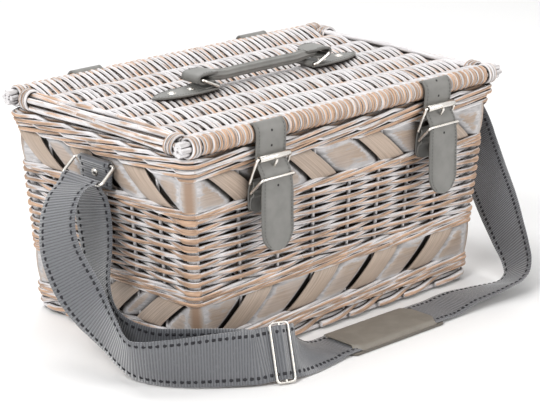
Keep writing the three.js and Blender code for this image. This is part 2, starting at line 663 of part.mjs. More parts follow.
function addBuckle(side) {
  const word = side < 0 ? 'left' : 'right';
  const x = side * STRAP_X;
  const lines = buckleLines(side < 0 ? 0 : RIGHT_BUCKLE_RISE);
  addFrontStrap(`front_strap_${word}`, x, lines);

  const frameOut = lines.barY - lines.rollerY;
  const frameSpan = Math.hypot(frameOut, FRAME_DROP);
  const frameTilt = Math.atan2(frameOut, FRAME_DROP);
  const rollerLength = STRAP_WIDTH + 1;
  const halfWidth = rollerLength / 2 + GAP + BUCKLE_WIRE / 2;
  const frameCorner = (BUCKLE_WIRE + GAP) / 2;
  const frame = wireLoop(halfWidth, frameSpan, BUCKLE_WIRE, frameCorner);
  const frameUp = [0, -Math.sin(frameTilt), Math.cos(frameTilt)];
  add(`buckle_frame_${word}`, place(frame, [x, lines.barY, lines.barZ], [1, 0, 0], frameUp), 'nickel');

  const inside = BUCKLE_WIRE / 2 + RUNNING;
  const tube = new THREE.LatheGeometry([
    [inside, 0], [ROLLER_RADIUS, 0], [ROLLER_RADIUS, rollerLength - 2 * GAP], [inside, rollerLength - 2 * GAP],
    [inside, 0],
  ].map(([r, y]) => new THREE.Vector2(r, y)), 16).rotateZ(-Math.PI / 2);
  const rollerStart = x - rollerLength / 2 + GAP;
  add(`buckle_roller_${word}`, tube.translate(rollerStart, lines.rollerY, lines.rollerZ), 'nickel');

  const lift = Math.asin((ROLLER_RADIUS + TONGUE_THICKNESS / 2 + GAP) / frameSpan);
  const tongueTilt = frameTilt + lift;
  const direction = new THREE.Vector2(-Math.sin(tongueTilt), Math.cos(tongueTilt));
  const root = new THREE.Vector2(lines.barY, lines.barZ);
  const eyeOuter = BUCKLE_WIRE / 2 + RUNNING + CHAPE_LEATHER;
  const shank = [inside + 0.8, TONGUE_LENGTH / 2, TONGUE_LENGTH]
    .map((reach) => root.clone().addScaledVector(direction, reach));
  const eye = barX(TONGUE_WIDTH, eyeOuter, lines.barY, lines.barZ);
  const prong = acrossX(ribbon(shank, TONGUE_THICKNESS), TONGUE_WIDTH);
  const bore = barX(2 * TONGUE_WIDTH, inside, lines.barY, lines.barZ);
  add(`buckle_tongue_${word}`, cut(join(eye, prong), bore).translate(x, 0, 0), 'nickel');

  const slabTop = lines.barZ;
  const slabBottom = lines.rollerZ - CHAPE_DROP;
  const slabMiddle = (lines.slabBack + lines.slabFront) / 2;
  const slabZ = (slabTop + slabBottom) / 2;
  const slab = block(STRAP_WIDTH, CHAPE_SLAB, slabTop - slabBottom, 0, slabMiddle, slabZ);
  const barFold = barX(STRAP_WIDTH, BUCKLE_WIRE / 2 + RUNNING + CHAPE_LEATHER, lines.barY, lines.barZ);
  const keeperRadius = KEEPER_WIRE / 2 + RUNNING + CHAPE_LEATHER;
  const keeperFold = barX(STRAP_WIDTH, keeperRadius, lines.barY, lines.keeperBarZ);
  const longer = 2 * STRAP_WIDTH;
  const tongueRoom = eyeOuter + GAP;
  const rivetZ = lines.rollerZ - CHAPE_RIVET_DROP;
  const rivetHole = new THREE.CylinderGeometry(RIVET_SHANK + GAP, RIVET_SHANK + GAP, 4 * CHAPE_SLAB, 12);
  const chape = cut(
    join(slab, barFold, keeperFold),
    barX(longer, inside, lines.barY, lines.barZ),
    barX(longer, KEEPER_WIRE / 2 + RUNNING, lines.barY, lines.keeperBarZ),
    block(TONGUE_WIDTH + 4 * GAP, 2 * tongueRoom, 2 * tongueRoom, 0, lines.barY, lines.barZ),
    rivetHole.translate(0, slabMiddle, rivetZ),
  );
  add(`buckle_chape_${word}`, chape.translate(x, 0, 0), 'leather');
  const chapeRivet = place(rivet(CHAPE_SLAB + GAP), [x, lines.slabBack, rivetZ], [1, 0, 0], [0, -1, 0]);
  add(`chape_rivet_${word}`, chapeRivet, 'nickel');

  const keeperOut = lines.barY - lines.keeperY;
  const keeperUp = lines.keeperZ - lines.keeperBarZ;
  const keeper = wireLoop(halfWidth, Math.hypot(keeperOut, keeperUp), KEEPER_WIRE, WIRE_CORNER);
  const keeperBar = [x, lines.barY, lines.keeperBarZ];
  add(`keeper_loop_${word}`, place(keeper, keeperBar, [1, 0, 0], [0, -keeperOut, keeperUp]), 'nickel');
}

function addHingeStrap(side) {
  const start = LID_HALF_SPAN + STRAP_RADIUS;
  const end = ROLL_Z - HINGE_STRAP_DROP;
  const flat = UPPER_BAND_TOP - HINGE_STRAP_BEND;
  const wall = (z) => frontFace(z) + GAP + LEATHER / 2;
  const over = arc(LID_HALF_SPAN, ROLL_Z, STRAP_RADIUS, 180, 0, 10);
  const tail = new THREE.SplineCurve([
    new THREE.Vector2(start, ROLL_Z - 4),
    new THREE.Vector2(start, UPPER_BAND_TOP + 0.75 * BORDER_HEIGHT),
    new THREE.Vector2((start + wall(flat)) / 2 + 1, UPPER_BAND_TOP + 0.1 * BORDER_HEIGHT),
    new THREE.Vector2(wall(flat), flat),
    new THREE.Vector2(wall(end), end),
  ]);
  const strap = acrossX(ribbon([...over, ...tail.getPoints(16)], LEATHER), STRAP_WIDTH);
  add(`hinge_strap_${side < 0 ? 'left' : 'right'}`, strap.translate(side * STRAP_X, 0, 0), 'leather');
}

function addHandle() {
  const tabBottom = ROLL_Z + LID_PANEL_HALF + RIDGE_HEIGHT + GAP;
  const tabTop = tabBottom + TAB_LEATHER;
  const boreRadius = HANDLE_WIRE / 2 + RUNNING;
  const foldRadius = boreRadius + HANDLE_FOLD_LEATHER;
  const foldZ = tabBottom + foldRadius;
  const ringTopX = TAB_FOLD_X + RING_REACH;
  const ringTopZ = foldZ + RING_RISE;
  for (const side of SIDES) {
    const word = side < 0 ? 'left' : 'right';
    const outline = new THREE.Shape();
    const belly = TAB_FOLD_X + 0.3 * (TAB_TIP_X - TAB_FOLD_X);
    outline.moveTo(TAB_FOLD_X, -TAB_WIDTH / 2);
    outline.quadraticCurveTo(belly, -TAB_BELLY / 2 - 1, belly + 12, -TAB_BELLY / 2);
    outline.quadraticCurveTo(TAB_TIP_X - 14, -TAB_BELLY / 2 + 1, TAB_TIP_X, 0);
    outline.quadraticCurveTo(TAB_TIP_X - 14, TAB_BELLY / 2 - 1, belly + 12, TAB_BELLY / 2);
    outline.quadraticCurveTo(belly, TAB_BELLY / 2 + 1, TAB_FOLD_X, TAB_WIDTH / 2);
    const sheet = { depth: TAB_LEATHER, bevelEnabled: false, curveSegments: 6 };
    const plate = new THREE.ExtrudeGeometry(outline, sheet);
    const fold = barY(TAB_WIDTH, foldRadius, TAB_FOLD_X, foldZ);
    const bore = barY(2 * TAB_WIDTH, boreRadius, TAB_FOLD_X, foldZ);
    const holes = TAB_RIVETS_X.map((x) => new THREE.CylinderGeometry(
      RIVET_SHANK + GAP, RIVET_SHANK + GAP, 4 * TAB_LEATHER, 12,
    ).rotateX(Math.PI / 2).translate(x, 0, tabBottom));
    const tab = cut(join(plate.translate(0, 0, tabBottom), fold), bore, ...holes);
    add(`handle_tab_${word}`, tab.scale(side, 1, 1), 'leather');
    TAB_RIVETS_X.forEach((x, i) => {
      const stud = place(rivet(TAB_LEATHER + GAP), [side * x, 0, tabBottom], [1, 0, 0], [0, 0, 1]);
      add(`handle_rivet_${word}_${i ? 'outer' : 'inner'}`, stud, 'nickel');
    });
    const span = Math.hypot(RING_REACH, RING_RISE);
    const halfWidth = TAB_WIDTH / 2 + 2 * GAP + HANDLE_WIRE / 2;
    const ring = wireLoop(halfWidth, span, HANDLE_WIRE, HANDLE_WIRE);
    const up = [side * RING_REACH, 0, RING_RISE];
    add(`handle_ring_${word}`, place(ring, [side * TAB_FOLD_X, 0, foldZ], [0, 1, 0], up), 'nickel');
  }

  const eyeBottom = ringTopZ - boreRadius;
  const eyeHeight = 2 * boreRadius + GRIP_EYE_PLAY;
  const endHeight = eyeHeight + 2 * GRIP_END_LEATHER;
  const endZ = eyeBottom + eyeHeight / 2;
  const eyeOuter = ringTopX + boreRadius + GRIP_EYE_SPARE;
  const endX = eyeOuter + GRIP_END_LEATHER;
  const roundZ = ROLL_Z + GRIP_RISE;
  // Stations along half the grip: distance from the middle, half width, half height, height, squareness.
  const flatHalf = TAB_WIDTH / 2;
  const stations = [
    [0, GRIP_RADIUS, GRIP_RADIUS, roundZ, 1],
    [GRIP_ROUND_X, GRIP_RADIUS, GRIP_RADIUS, roundZ, 1],
    [(GRIP_ROUND_X + GRIP_NECK_X) / 2, (GRIP_RADIUS + flatHalf) / 2, GRIP_RADIUS - 0.5, endZ - 0.6, 0.75],
    [GRIP_NECK_X, flatHalf, endHeight / 2, endZ, 0.4],
    [endX - 1.5, flatHalf, endHeight / 2, endZ, 0.4],
    [endX, flatHalf - 0.5, endHeight / 2 - 1.5, endZ, 0.5],
  ];
  const ringOf = (sign) => ([x, halfWidth, halfHeight, z, square]) => Array.from({ length: 16 }, (_, j) => {
    const angle = ((j + 0.5) / 16) * Math.PI * 2;
    const c = Math.cos(angle);
    const s = Math.sin(angle);
    const y = halfWidth * Math.sign(c) * Math.abs(c) ** square;
    return new THREE.Vector3(sign * x, y, z + halfHeight * Math.sign(s) * Math.abs(s) ** square);
  });
  const rings = [...stations.slice(1).reverse().map(ringOf(-1)), ...stations.map(ringOf(1))];
  const eyeRadius = eyeHeight / 2;
  const eyes = SIDES.map((side) => {
    const outline = new THREE.Shape();
    outline.absarc(eyeOuter - eyeRadius, endZ, eyeRadius, -Math.PI / 2, Math.PI / 2, false);
    const eyeInner = eyeOuter - GRIP_EYE_LENGTH;
    outline.absarc(eyeInner + eyeRadius, endZ, eyeRadius, Math.PI / 2, 1.5 * Math.PI, false);
    return acrossY(outline, 2 * TAB_WIDTH).scale(side, 1, 1);
  });
  add('handle_grip', cut(loft(rings, false), ...eyes), 'leather');
}

function addSideAnchor(side) {
  const word = side < 0 ? 'left' : 'right';
  const boreRadius = SIDE_WIRE / 2 + RUNNING;
  const foldRadius = boreRadius + ANCHOR_LAYER;
  const face = sideFace(ANCHOR_Z) + GAP;
  const axisX = face + foldRadius;
  const thickness = 2 * ANCHOR_LAYER;
  const middle = face + thickness / 2;
  const slab = block(thickness, ANCHOR_WIDTH, ANCHOR_DROP, middle, 0, ANCHOR_Z - ANCHOR_DROP / 2);
  const fold = barY(ANCHOR_WIDTH, foldRadius, axisX, ANCHOR_Z);
  const bore = barY(2 * ANCHOR_WIDTH, boreRadius, axisX, ANCHOR_Z);
  const rivetZ = ANCHOR_Z - SIDE_RIVET_DROP;
  const hole = new THREE.CylinderGeometry(RIVET_SHANK + GAP, RIVET_SHANK + GAP, 4 * thickness, 12);
  const tab = cut(join(slab, fold), bore, hole.rotateZ(Math.PI / 2).translate(middle, 0, rivetZ));
  add(`side_tab_${word}`, tab.scale(side, 1, 1), 'webbing');
  const stud = place(rivet(thickness + GAP), [side * face, 0, rivetZ], [0, 0, 1], [side, 0, 0]);
  add(`side_rivet_${word}`, stud, 'nickel');
  const halfWidth = WEBBING_WIDTH / 2 + 5 * GAP + SIDE_WIRE / 2;
  const ring = wireLoop(halfWidth, Math.hypot(SIDE_RING_REACH, SIDE_RING_DROP), SIDE_WIRE, WIRE_CORNER);
  const along = [side * SIDE_RING_REACH, 0, -SIDE_RING_DROP];
  add(`side_ring_${word}`, place(ring, [side * axisX, 0, ANCHOR_Z], [0, 1, 0], along), 'nickel');
}

function addShoulderStrap() {
  const centre = WEBBING_ROUTE.map(([x, y, z]) => new THREE.Vector3(x, y, z));
  const rings = WEBBING_ROUTE.map(([, , , wx, wy, wz], i) => {
    const before = centre[Math.max(i - 1, 0)];
    const after = centre[Math.min(i + 1, centre.length - 1)];
    const along = after.clone().sub(before).normalize();
    const width = new THREE.Vector3(wx, wy, wz);
    width.addScaledVector(along, -width.dot(along)).setLength(WEBBING_WIDTH / 2);
    const thick = along.clone().cross(width).setLength(WEBBING / 2);
    return [[1, 1], [-1, 1], [-1, -1], [1, -1]].map(
      ([across, out]) => centre[i].clone().addScaledVector(width, across).addScaledVector(thick, out),
    );
  });
  add('shoulder_strap', loft(rings, false), 'webbing');

  const along = new THREE.Vector3(...SLIDER_ALONG).normalize();
  const lean = THREE.MathUtils.degToRad(SLIDER_LEAN);
  const inward = new THREE.Vector3(0, 0, 1).cross(along);
  const up = inward.multiplyScalar(Math.sin(lean)).setZ(Math.cos(lean));
  const frame = wireLoop(SLIDER_WIDTH / 2, SLIDER_LENGTH, SLIDER_WIRE, WIRE_CORNER);
  const middleBar = new THREE.CylinderGeometry(SLIDER_WIRE / 2, SLIDER_WIRE / 2, SLIDER_WIDTH, 8);
  middleBar.rotateZ(Math.PI / 2).translate(0, SLIDER_LENGTH / 2, 0);
  const slider = join(frame, middleBar).translate(0, -SLIDER_LENGTH / 2, 0);
  add('strap_slider', place(slider, SLIDER_CENTRE, up.toArray(), along.toArray()), 'nickel');

  const half = PAD_WIDTH / 2;
  const section = new THREE.Shape();
  const round = PAD_THICKNESS / 2;
  section.absarc(half - round, round, round, -Math.PI / 2, Math.PI / 2, false);
  section.absarc(round - half, round, round, Math.PI / 2, 1.5 * Math.PI, false);
  const slot = new THREE.Path();
  const slotHalf = WEBBING_WIDTH / 2 + PAD_SLOT_SIDE;
  const slotLow = (PAD_THICKNESS - WEBBING) / 2 - PAD_SLOT_FACE;
  const slotHigh = (PAD_THICKNESS + WEBBING) / 2 + PAD_SLOT_FACE;
  slot.moveTo(-slotHalf, slotLow);
  slot.lineTo(slotHalf, slotLow);
  slot.lineTo(slotHalf, slotHigh);
  slot.lineTo(-slotHalf, slotHigh);
  slot.closePath();
  section.holes.push(slot);
  add('shoulder_pad', acrossX(section, PAD_LENGTH).translate(...PAD_CENTRE, 0), 'padLeather');
}

addBody();
addLid();
SIDES.forEach(addHingeStrap);
SIDES.forEach(addBuckle);
addHandle();
SIDES.forEach(addSideAnchor);
addShoulderStrap();

export default basket;
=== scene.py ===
"""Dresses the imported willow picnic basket: weave, chip bands, leather, webbing, wire and the studio."""

import math
import random

import bmesh
import bpy
import numpy as np
from bpy.props import FloatProperty, FloatVectorProperty, IntProperty, PointerProperty
from mathutils import Matrix, Vector


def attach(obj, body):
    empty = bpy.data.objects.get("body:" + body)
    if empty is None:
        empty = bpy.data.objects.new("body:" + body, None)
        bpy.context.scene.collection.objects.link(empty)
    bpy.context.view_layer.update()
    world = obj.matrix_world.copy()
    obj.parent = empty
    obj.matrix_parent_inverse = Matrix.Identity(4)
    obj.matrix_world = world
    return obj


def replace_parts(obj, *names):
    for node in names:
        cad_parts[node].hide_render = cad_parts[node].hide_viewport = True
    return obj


bl_info = {
    "name": "Willow picnic basket",
    "version": (1, 0, 0),
    "blender": (4, 5, 0),
    "location": "View3D > Sidebar > Basket",
    "description": "Builds the visible pieces of a willow picnic basket around its packed solids",
    "category": "Object",
}

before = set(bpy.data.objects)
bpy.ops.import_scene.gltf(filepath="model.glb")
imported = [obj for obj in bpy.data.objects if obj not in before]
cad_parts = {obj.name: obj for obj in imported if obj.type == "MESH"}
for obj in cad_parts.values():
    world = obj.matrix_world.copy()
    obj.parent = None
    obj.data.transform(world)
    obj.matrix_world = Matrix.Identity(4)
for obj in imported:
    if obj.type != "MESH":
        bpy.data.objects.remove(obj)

MM = 0.001

# Sizes shared with the solids, in millimetres
LEAN_X = 18.5 / 187
LEAN_Y = 5.5 / 187
CORNER = 9.5
BASE_DEPTH = 237
HALF_X = 377 / 2 - CORNER
HALF_Y = BASE_DEPTH / 2 - CORNER
FOOT_TOP = 30
LOWER_BAND_TOP = 62
FIELD_BOTTOM = 75
FIELD_TOP = 149
UPPER_BAND_BOTTOM = 157
UPPER_BAND_TOP = 187
BORDER_TOP = 209
ROLL_Y = 124
ROLL_Z = 219.8
WRAPPED_HALF = 196
STICK_HALF = 220
ROLL_STICK = 6.2
LID_STICK_PITCH = 38.0
STRAP_X = 115
STRAP_WIDTH = 38
LEATHER = 2.4
BUCKLE_HALF = 21.3
BUCKLE_HEIGHT = 25.0
ROLLER_Y = -140.25
KEEPER_Y = ROLLER_Y - 6.5
KEEPER_DROP = 10
KEEPER_HEIGHT = 17.0
WEBBING_WIDTH = 50
HANDLE_BED = ROLL_Z + 7.8
HANDLE_PIVOT_X = 66
ANCHOR_X = 211.3
ANCHOR_Z = 182
PAD_Y = -165.5

# How far the right buckle sits above the left one
BUCKLE_RISE = {"left": 0.0, "right": 6.5}

# The radius at which a strap passes round a roll of the lid, and that of its end on the roll
STRAP_ROUND = 12.2
STRAP_END = 7.6

# Stitches: pitch, length, half the thread's width, height over the given line, and flatness
STRAP_STITCH = (3.4, 2.1, 0.34, LEATHER / 2)
TAB_STITCH = (3.2, 2.0, 0.3, 0.0)
GRIP_STITCH = (3.2, 2.0, 0.3, 1.25)
PAD_STITCH = (3.4, 2.2, 0.3, 0.0)
STRAP_DASH = (6.4, 3.7, 1.6, 0.5, 0.4)
SIDE_TAB_DASH = (6.6, 3.6, 1.2, 0.5, 0.45)

# The wall weave's middle behind the face of the bands, and the height of the base weave's middle
WEAVE_DEPTH = -4.3
BASE_MIDDLE = 4.6

# Rods of one wale, and the steps that each makes round the basket
WALE_RODS = 3
WALE_TURNS = 27

SIDES = (("left", -1), ("right", 1))
ROWS = (("front", -1), ("rear", 1))

# Where the stakes stand along a long wall and along an end, as shares of the length between the corners
LONG_STAKES = (0, 0.139, 0.27, 0.395, 0.523, 0.63, 0.742, 0.859, 1)
END_STAKES = (0, 0.16, 0.335, 0.5, 0.665, 0.84, 1)
STAKES = (LONG_STAKES, END_STAKES, LONG_STAKES, END_STAKES)
CORNERS = np.cumsum([0, *(len(shares) - 1 for shares in STAKES)])

# The shoulder strap's route in metres: the middle of the webbing, then the direction across its width
WEBBING_ROUTE = (
    (-0.1495, -0.184, 0.0268, 0.13, 0.37, 0.92),
    (-0.1519, -0.1817, 0.0262, 0.15, 0.36, 0.92),
    (-0.1551, -0.1791, 0.0258, 0.14, 0.36, 0.92),
    (-0.1606, -0.1765, 0.0255, 0.11, 0.37, 0.92),
    (-0.1681, -0.1736, 0.0251, 0.18, 0.23, 0.96),
    (-0.1786, -0.1627, 0.0256, 0.17, 0.12, 0.98),
    (-0.1892, -0.1519, 0.026, 0.09, 0.07, 0.99),
    (-0.1998, -0.141, 0.0262, 0.03, 0.02, 1),
    (-0.2103, -0.1301, 0.0261, 0, -0.01, 1),
    (-0.221, -0.1194, 0.0262, -0.01, -0.05, 1),
    (-0.2312, -0.1083, 0.0269, -0.01, -0.14, 0.99),
    (-0.2387, -0.0954, 0.0295, -0.03, -0.27, 0.96),
    (-0.2441, -0.082, 0.0339, -0.06, -0.39, 0.92),
    (-0.2472, -0.0686, 0.0403, -0.09, -0.51, 0.86),
    (-0.247, -0.0562, 0.0489, -0.1, -0.62, 0.78),
    (-0.2437, -0.0455, 0.0591, -0.11, -0.7, 0.71),
    (-0.2388, -0.0363, 0.07, -0.1, -0.76, 0.64),
    (-0.233, -0.0282, 0.0814, -0.08, -0.82, 0.57),
    (-0.2274, -0.021, 0.0935, -0.03, -0.87, 0.49),
    (-0.2228, -0.0145, 0.1064, 0.01, -0.91, 0.41),
    (-0.2197, -0.0088, 0.1201, 0.04, -0.94, 0.34),
    (-0.2184, -0.0042, 0.1345, 0.06, -0.97, 0.25),
    (-0.2193, -0.0011, 0.1492, 0.04, -0.99, 0.15),
    (-0.2242, 0, 0.1635, -0.02, -1, 0.05),
    (-0.2251, 0, 0.1675, 0, -1, 0),
    (-0.226, 0, 0.1696, 0, -1, 0),
    (-0.228, 0, 0.1705, 0, -1, 0),
    (-0.2302, 0, 0.1695, 0, -1, 0),
    (-0.236, 0, 0.165, 0.02, -0.99, 0.14),
    (-0.2489, -0.002, 0.1584, 0.06, -0.97, 0.25),
    (-0.2589, -0.0056, 0.148, 0.07, -0.95, 0.3),
    (-0.2658, -0.0104, 0.1358, 0.09, -0.93, 0.34),
    (-0.2701, -0.016, 0.1228, 0.14, -0.91, 0.39),
    (-0.2715, -0.0224, 0.1094, 0.21, -0.87, 0.45),
    (-0.2704, -0.0296, 0.0964, 0.28, -0.81, 0.51),
    (-0.2682, -0.0373, 0.0839, 0.32, -0.76, 0.56),
    (-0.2657, -0.0457, 0.0718, 0.28, -0.73, 0.63),
    (-0.2633, -0.0554, 0.0608, 0.14, -0.68, 0.72),
    (-0.2617, -0.0666, 0.0511, -0.04, -0.63, 0.78),
    (-0.2609, -0.0785, 0.0422, -0.17, -0.59, 0.79),
    (-0.2611, -0.0905, 0.0335, -0.26, -0.51, 0.82),
    (-0.2594, -0.1037, 0.027, -0.3, -0.37, 0.88),
    (-0.2527, -0.1169, 0.0253, -0.27, -0.23, 0.93),
    (-0.2434, -0.1285, 0.0255, -0.19, -0.15, 0.97),
    (-0.2329, -0.139, 0.0259, -0.12, -0.08, 0.99),
    (-0.2214, -0.1484, 0.0265, -0.05, -0.01, 1),
    (-0.2091, -0.1568, 0.027, 0.02, 0.06, 1),
    (-0.1963, -0.1643, 0.027, 0.09, 0.12, 0.99),
    (-0.1828, -0.1706, 0.0265, 0.14, 0.21, 0.97),
    (-0.1692, -0.1766, 0.0258, 0.13, 0.32, 0.94),
    (-0.1606, -0.1794, 0.0264, 0.08, 0.39, 0.92),
    (-0.1551, -0.1816, 0.0266, 0.13, 0.37, 0.92),
    (-0.1517, -0.1853, 0.0276, 0.14, 0.36, 0.92),
    (-0.1483, -0.189, 0.0286, 0.14, 0.36, 0.92),
    (-0.1433, -0.1887, 0.0276, 0.15, 0.36, 0.92),
    (-0.1384, -0.1882, 0.0266, 0.12, 0.36, 0.92),
    (-0.1308, -0.1877, 0.0256, 0.15, 0.37, 0.92),
    (-0.1211, -0.1824, 0.0215, 0.05, 0.59, 0.81),
    (-0.1111, -0.1778, 0.0175, -0.05, 0.76, 0.65),
    (-0.1008, -0.1738, 0.0134, -0.11, 0.87, 0.49),
    (-0.0902, -0.1705, 0.0094, -0.14, 0.93, 0.32),
    (-0.0791, -0.1679, 0.0059, -0.14, 0.97, 0.18),
    (-0.0705, -0.1662, 0.0041, -0.09, 0.99, 0.05),
    (-0.062, -0.1655, 0.003, 0, 1, 0),
    (-0.05, -0.1655, 0.003, 0, 1, 0),
    (0.008, -0.1655, 0.003, 0, 1, 0),
    (0.078, -0.1655, 0.003, 0, 1, 0),
    (0.1, -0.1655, 0.003, 0, 1, 0),
    (0.1128, -0.1656, 0.005, 0.02, 1, -0.04),
    (0.1257, -0.1659, 0.0066, 0.06, 1, -0.08),
    (0.1387, -0.1669, 0.0071, 0.09, 0.99, -0.11),
    (0.1516, -0.1682, 0.0074, 0.11, 0.98, -0.16),
    (0.1645, -0.1697, 0.0078, 0.13, 0.97, -0.2),
    (0.1774, -0.1713, 0.0086, 0.15, 0.95, -0.27),
    (0.1902, -0.1733, 0.0097, 0.14, 0.93, -0.34),
    (0.2023, -0.1732, 0.0136, 0.1, 0.88, -0.47),
    (0.2117, -0.1695, 0.0216, 0.12, 0.8, -0.59),
    (0.2165, -0.1624, 0.0313, 0.09, 0.75, -0.65),
    (0.2204, -0.1541, 0.0405, 0.01, 0.71, -0.7),
    (0.2244, -0.145, 0.0489, -0.09, 0.68, -0.73),
    (0.2296, -0.1357, 0.0563, -0.18, 0.65, -0.74),
    (0.2353, -0.1261, 0.0629, -0.26, 0.62, -0.74),
    (0.2416, -0.1162, 0.0685, -0.33, 0.6, -0.73),
    (0.2483, -0.1062, 0.0734, -0.37, 0.59, -0.72),
    (0.2554, -0.0962, 0.0777, -0.4, 0.58, -0.71),
    (0.2627, -0.0862, 0.0817, -0.41, 0.58, -0.7),
    (0.2703, -0.0763, 0.0854, -0.42, 0.59, -0.69),
    (0.2777, -0.0665, 0.0895, -0.41, 0.61, -0.68),
    (0.285, -0.0567, 0.094, -0.4, 0.63, -0.67),
    (0.2918, -0.047, 0.0994, -0.37, 0.66, -0.65),
    (0.2978, -0.0376, 0.106, -0.34, 0.7, -0.63),
    (0.303, -0.0287, 0.1139, -0.31, 0.74, -0.6),
    (0.3061, -0.0203, 0.1233, -0.27, 0.78, -0.57),
    (0.3063, -0.013, 0.1339, -0.22, 0.82, -0.53),
    (0.3031, -0.0071, 0.145, -0.17, 0.86, -0.47),
    (0.2965, -0.0031, 0.1555, -0.12, 0.91, -0.4),
    (0.2871, -0.0008, 0.164, -0.08, 0.95, -0.31),
    (0.2757, 0, 0.1701, -0.03, 0.98, -0.22),
    (0.263, 0.0002, 0.1723, -0.01, 0.99, -0.11),
    (0.25, 0, 0.1725, -0.01, 1, 0),
    (0.236, 0, 0.1718, 0, 1, 0),
    (0.228, 0, 0.1705, 0, 1, 0),
    (0.2259, 0, 0.1696, 0, 1, 0),
    (0.2251, 0, 0.1675, 0, 1, 0),
    (0.2259, 0, 0.1654, 0, 1, 0),
    (0.228, 0, 0.1645, 0, 1, 0),
    (0.237, 0, 0.1682, 0.04, 1, 0.01),
    (0.25, -0.001, 0.1693, 0.08, 1, 0),
    (0.256, -0.0016, 0.1691, 0.1, 1, 0),
)

# Outline of a flat strip, in shares of its half width and half thickness
FLAT_SECTION = np.array([
    (-1, -0.4), (-0.97, -1), (-0.6, -1), (-0.2, -1), (0.2, -1), (0.6, -1), (0.97, -1),
    (1, -0.4), (1, 0.4), (0.97, 1), (0.6, 1), (0.2, 1), (-0.2, 1), (-0.6, 1), (-0.97, 1), (-1, 0.4),
])


class BasketSizes(bpy.types.PropertyGroup):
    """Sizes of the woven and sewn work."""

    weaver_diameter: FloatProperty(
        name="Weaver", description="Diameter of the thin rods of walls and lid", default=0.0043, unit="LENGTH"
    )
    row_pitch: FloatProperty(
        name="Row pitch", description="Height of one row of the wall weave", default=0.00435, unit="LENGTH"
    )
    lid_pitch: FloatProperty(
        name="Lid pitch", description="Distance between neighbouring lid weavers", default=0.00395,
        unit="LENGTH",
    )
    course_diameter: FloatProperty(
        name="Course rod", description="Diameter of the rods of wales and borders", default=0.0054,
        unit="LENGTH",
    )
    rib_pitch: FloatProperty(
        name="Rib pitch", description="Distance between the webbing's ribs", default=0.0027, unit="LENGTH"
    )
    seed: IntProperty(name="Seed", description="Seed of the weave's irregularity", default=7)


class BasketColours(bpy.types.PropertyGroup):
    """Colours of the materials."""

    willow: FloatVectorProperty(
        name="Willow", description="Worn willow", subtype="COLOR", size=3, default=(0.57, 0.375, 0.255)
    )
    wash: FloatVectorProperty(
        name="Whitewash", description="Whitewash left in the recesses", subtype="COLOR", size=3,
        default=(0.81, 0.79, 0.80),
    )
    chip: FloatVectorProperty(
        name="Chip wood", description="Bare chip wood", subtype="COLOR", size=3, default=(0.50, 0.395, 0.315)
    )
    leather: FloatVectorProperty(
        name="Leather", description="Grey strap leather", subtype="COLOR", size=3,
        default=(0.205, 0.203, 0.192),
    )
    pad: FloatVectorProperty(
        name="Pad leather", description="Shoulder pad", subtype="COLOR", size=3, default=(0.225, 0.205, 0.175)
    )
    webbing: FloatVectorProperty(
        name="Webbing", description="Ribbed webbing", subtype="COLOR", size=3, default=(0.094, 0.099, 0.111)
    )
    nickel: FloatVectorProperty(
        name="Nickel", description="Plated wire", subtype="COLOR", size=3, default=(0.78, 0.75, 0.70)
    )


def sizes():
    return bpy.context.scene.basket_sizes


def colours():
    return bpy.context.scene.basket_colours


def unit(vectors):
    """Vectors scaled to length one along their last axis."""
    return vectors / np.maximum(np.linalg.norm(vectors, axis=-1, keepdims=True), 1e-9)


def tangents(path, closed=False):
    """Directions along a line of points."""
    if closed:
        return unit(np.roll(path, -1, axis=0) - np.roll(path, 1, axis=0))
    return unit(np.gradient(path, axis=0))


def lengths(path):
    """Distance of each point along its line, in the line's own unit."""
    steps = np.linalg.norm(np.diff(path, axis=0), axis=1)
    return np.concatenate([[0.0], np.cumsum(steps)])


def smooth_step(low, high, value):
    t = np.clip((value - low) / (high - low), 0, 1)
    return t * t * (3 - 2 * t)


def hermite(points, spacing):
    """Points at an even spacing on a smooth curve through uneven points."""
    d = np.linalg.norm(np.diff(points[:, :3], axis=0), axis=1)
    slope = np.diff(points, axis=0) / d[:, None]
    m = np.empty_like(points)
    m[0], m[-1] = slope[0], slope[-1]
    m[1:-1] = (slope[:-1] * d[1:, None] + slope[1:] * d[:-1, None]) / (d[1:] + d[:-1])[:, None]
    fine = []
    for i, span in enumerate(d):
        t = np.linspace(0, 1, max(int(span / spacing) + 1, 2) * 2, endpoint=False)[:, None]
        h = (2 * t**3 - 3 * t**2 + 1, t**3 - 2 * t**2 + t, -2 * t**3 + 3 * t**2, t**3 - t**2)
        fine.append(h[0] * points[i] + h[1] * span * m[i] + h[2] * points[i + 1] + h[3] * span * m[i + 1])
    fine = np.vstack([*fine, points[-1:]])
    s = lengths(fine[:, :3])
    even = np.linspace(0, s[-1], int(s[-1] / spacing) + 1)
    return np.stack([np.interp(even, s, fine[:, k]) for k in range(points.shape[1])], axis=1)


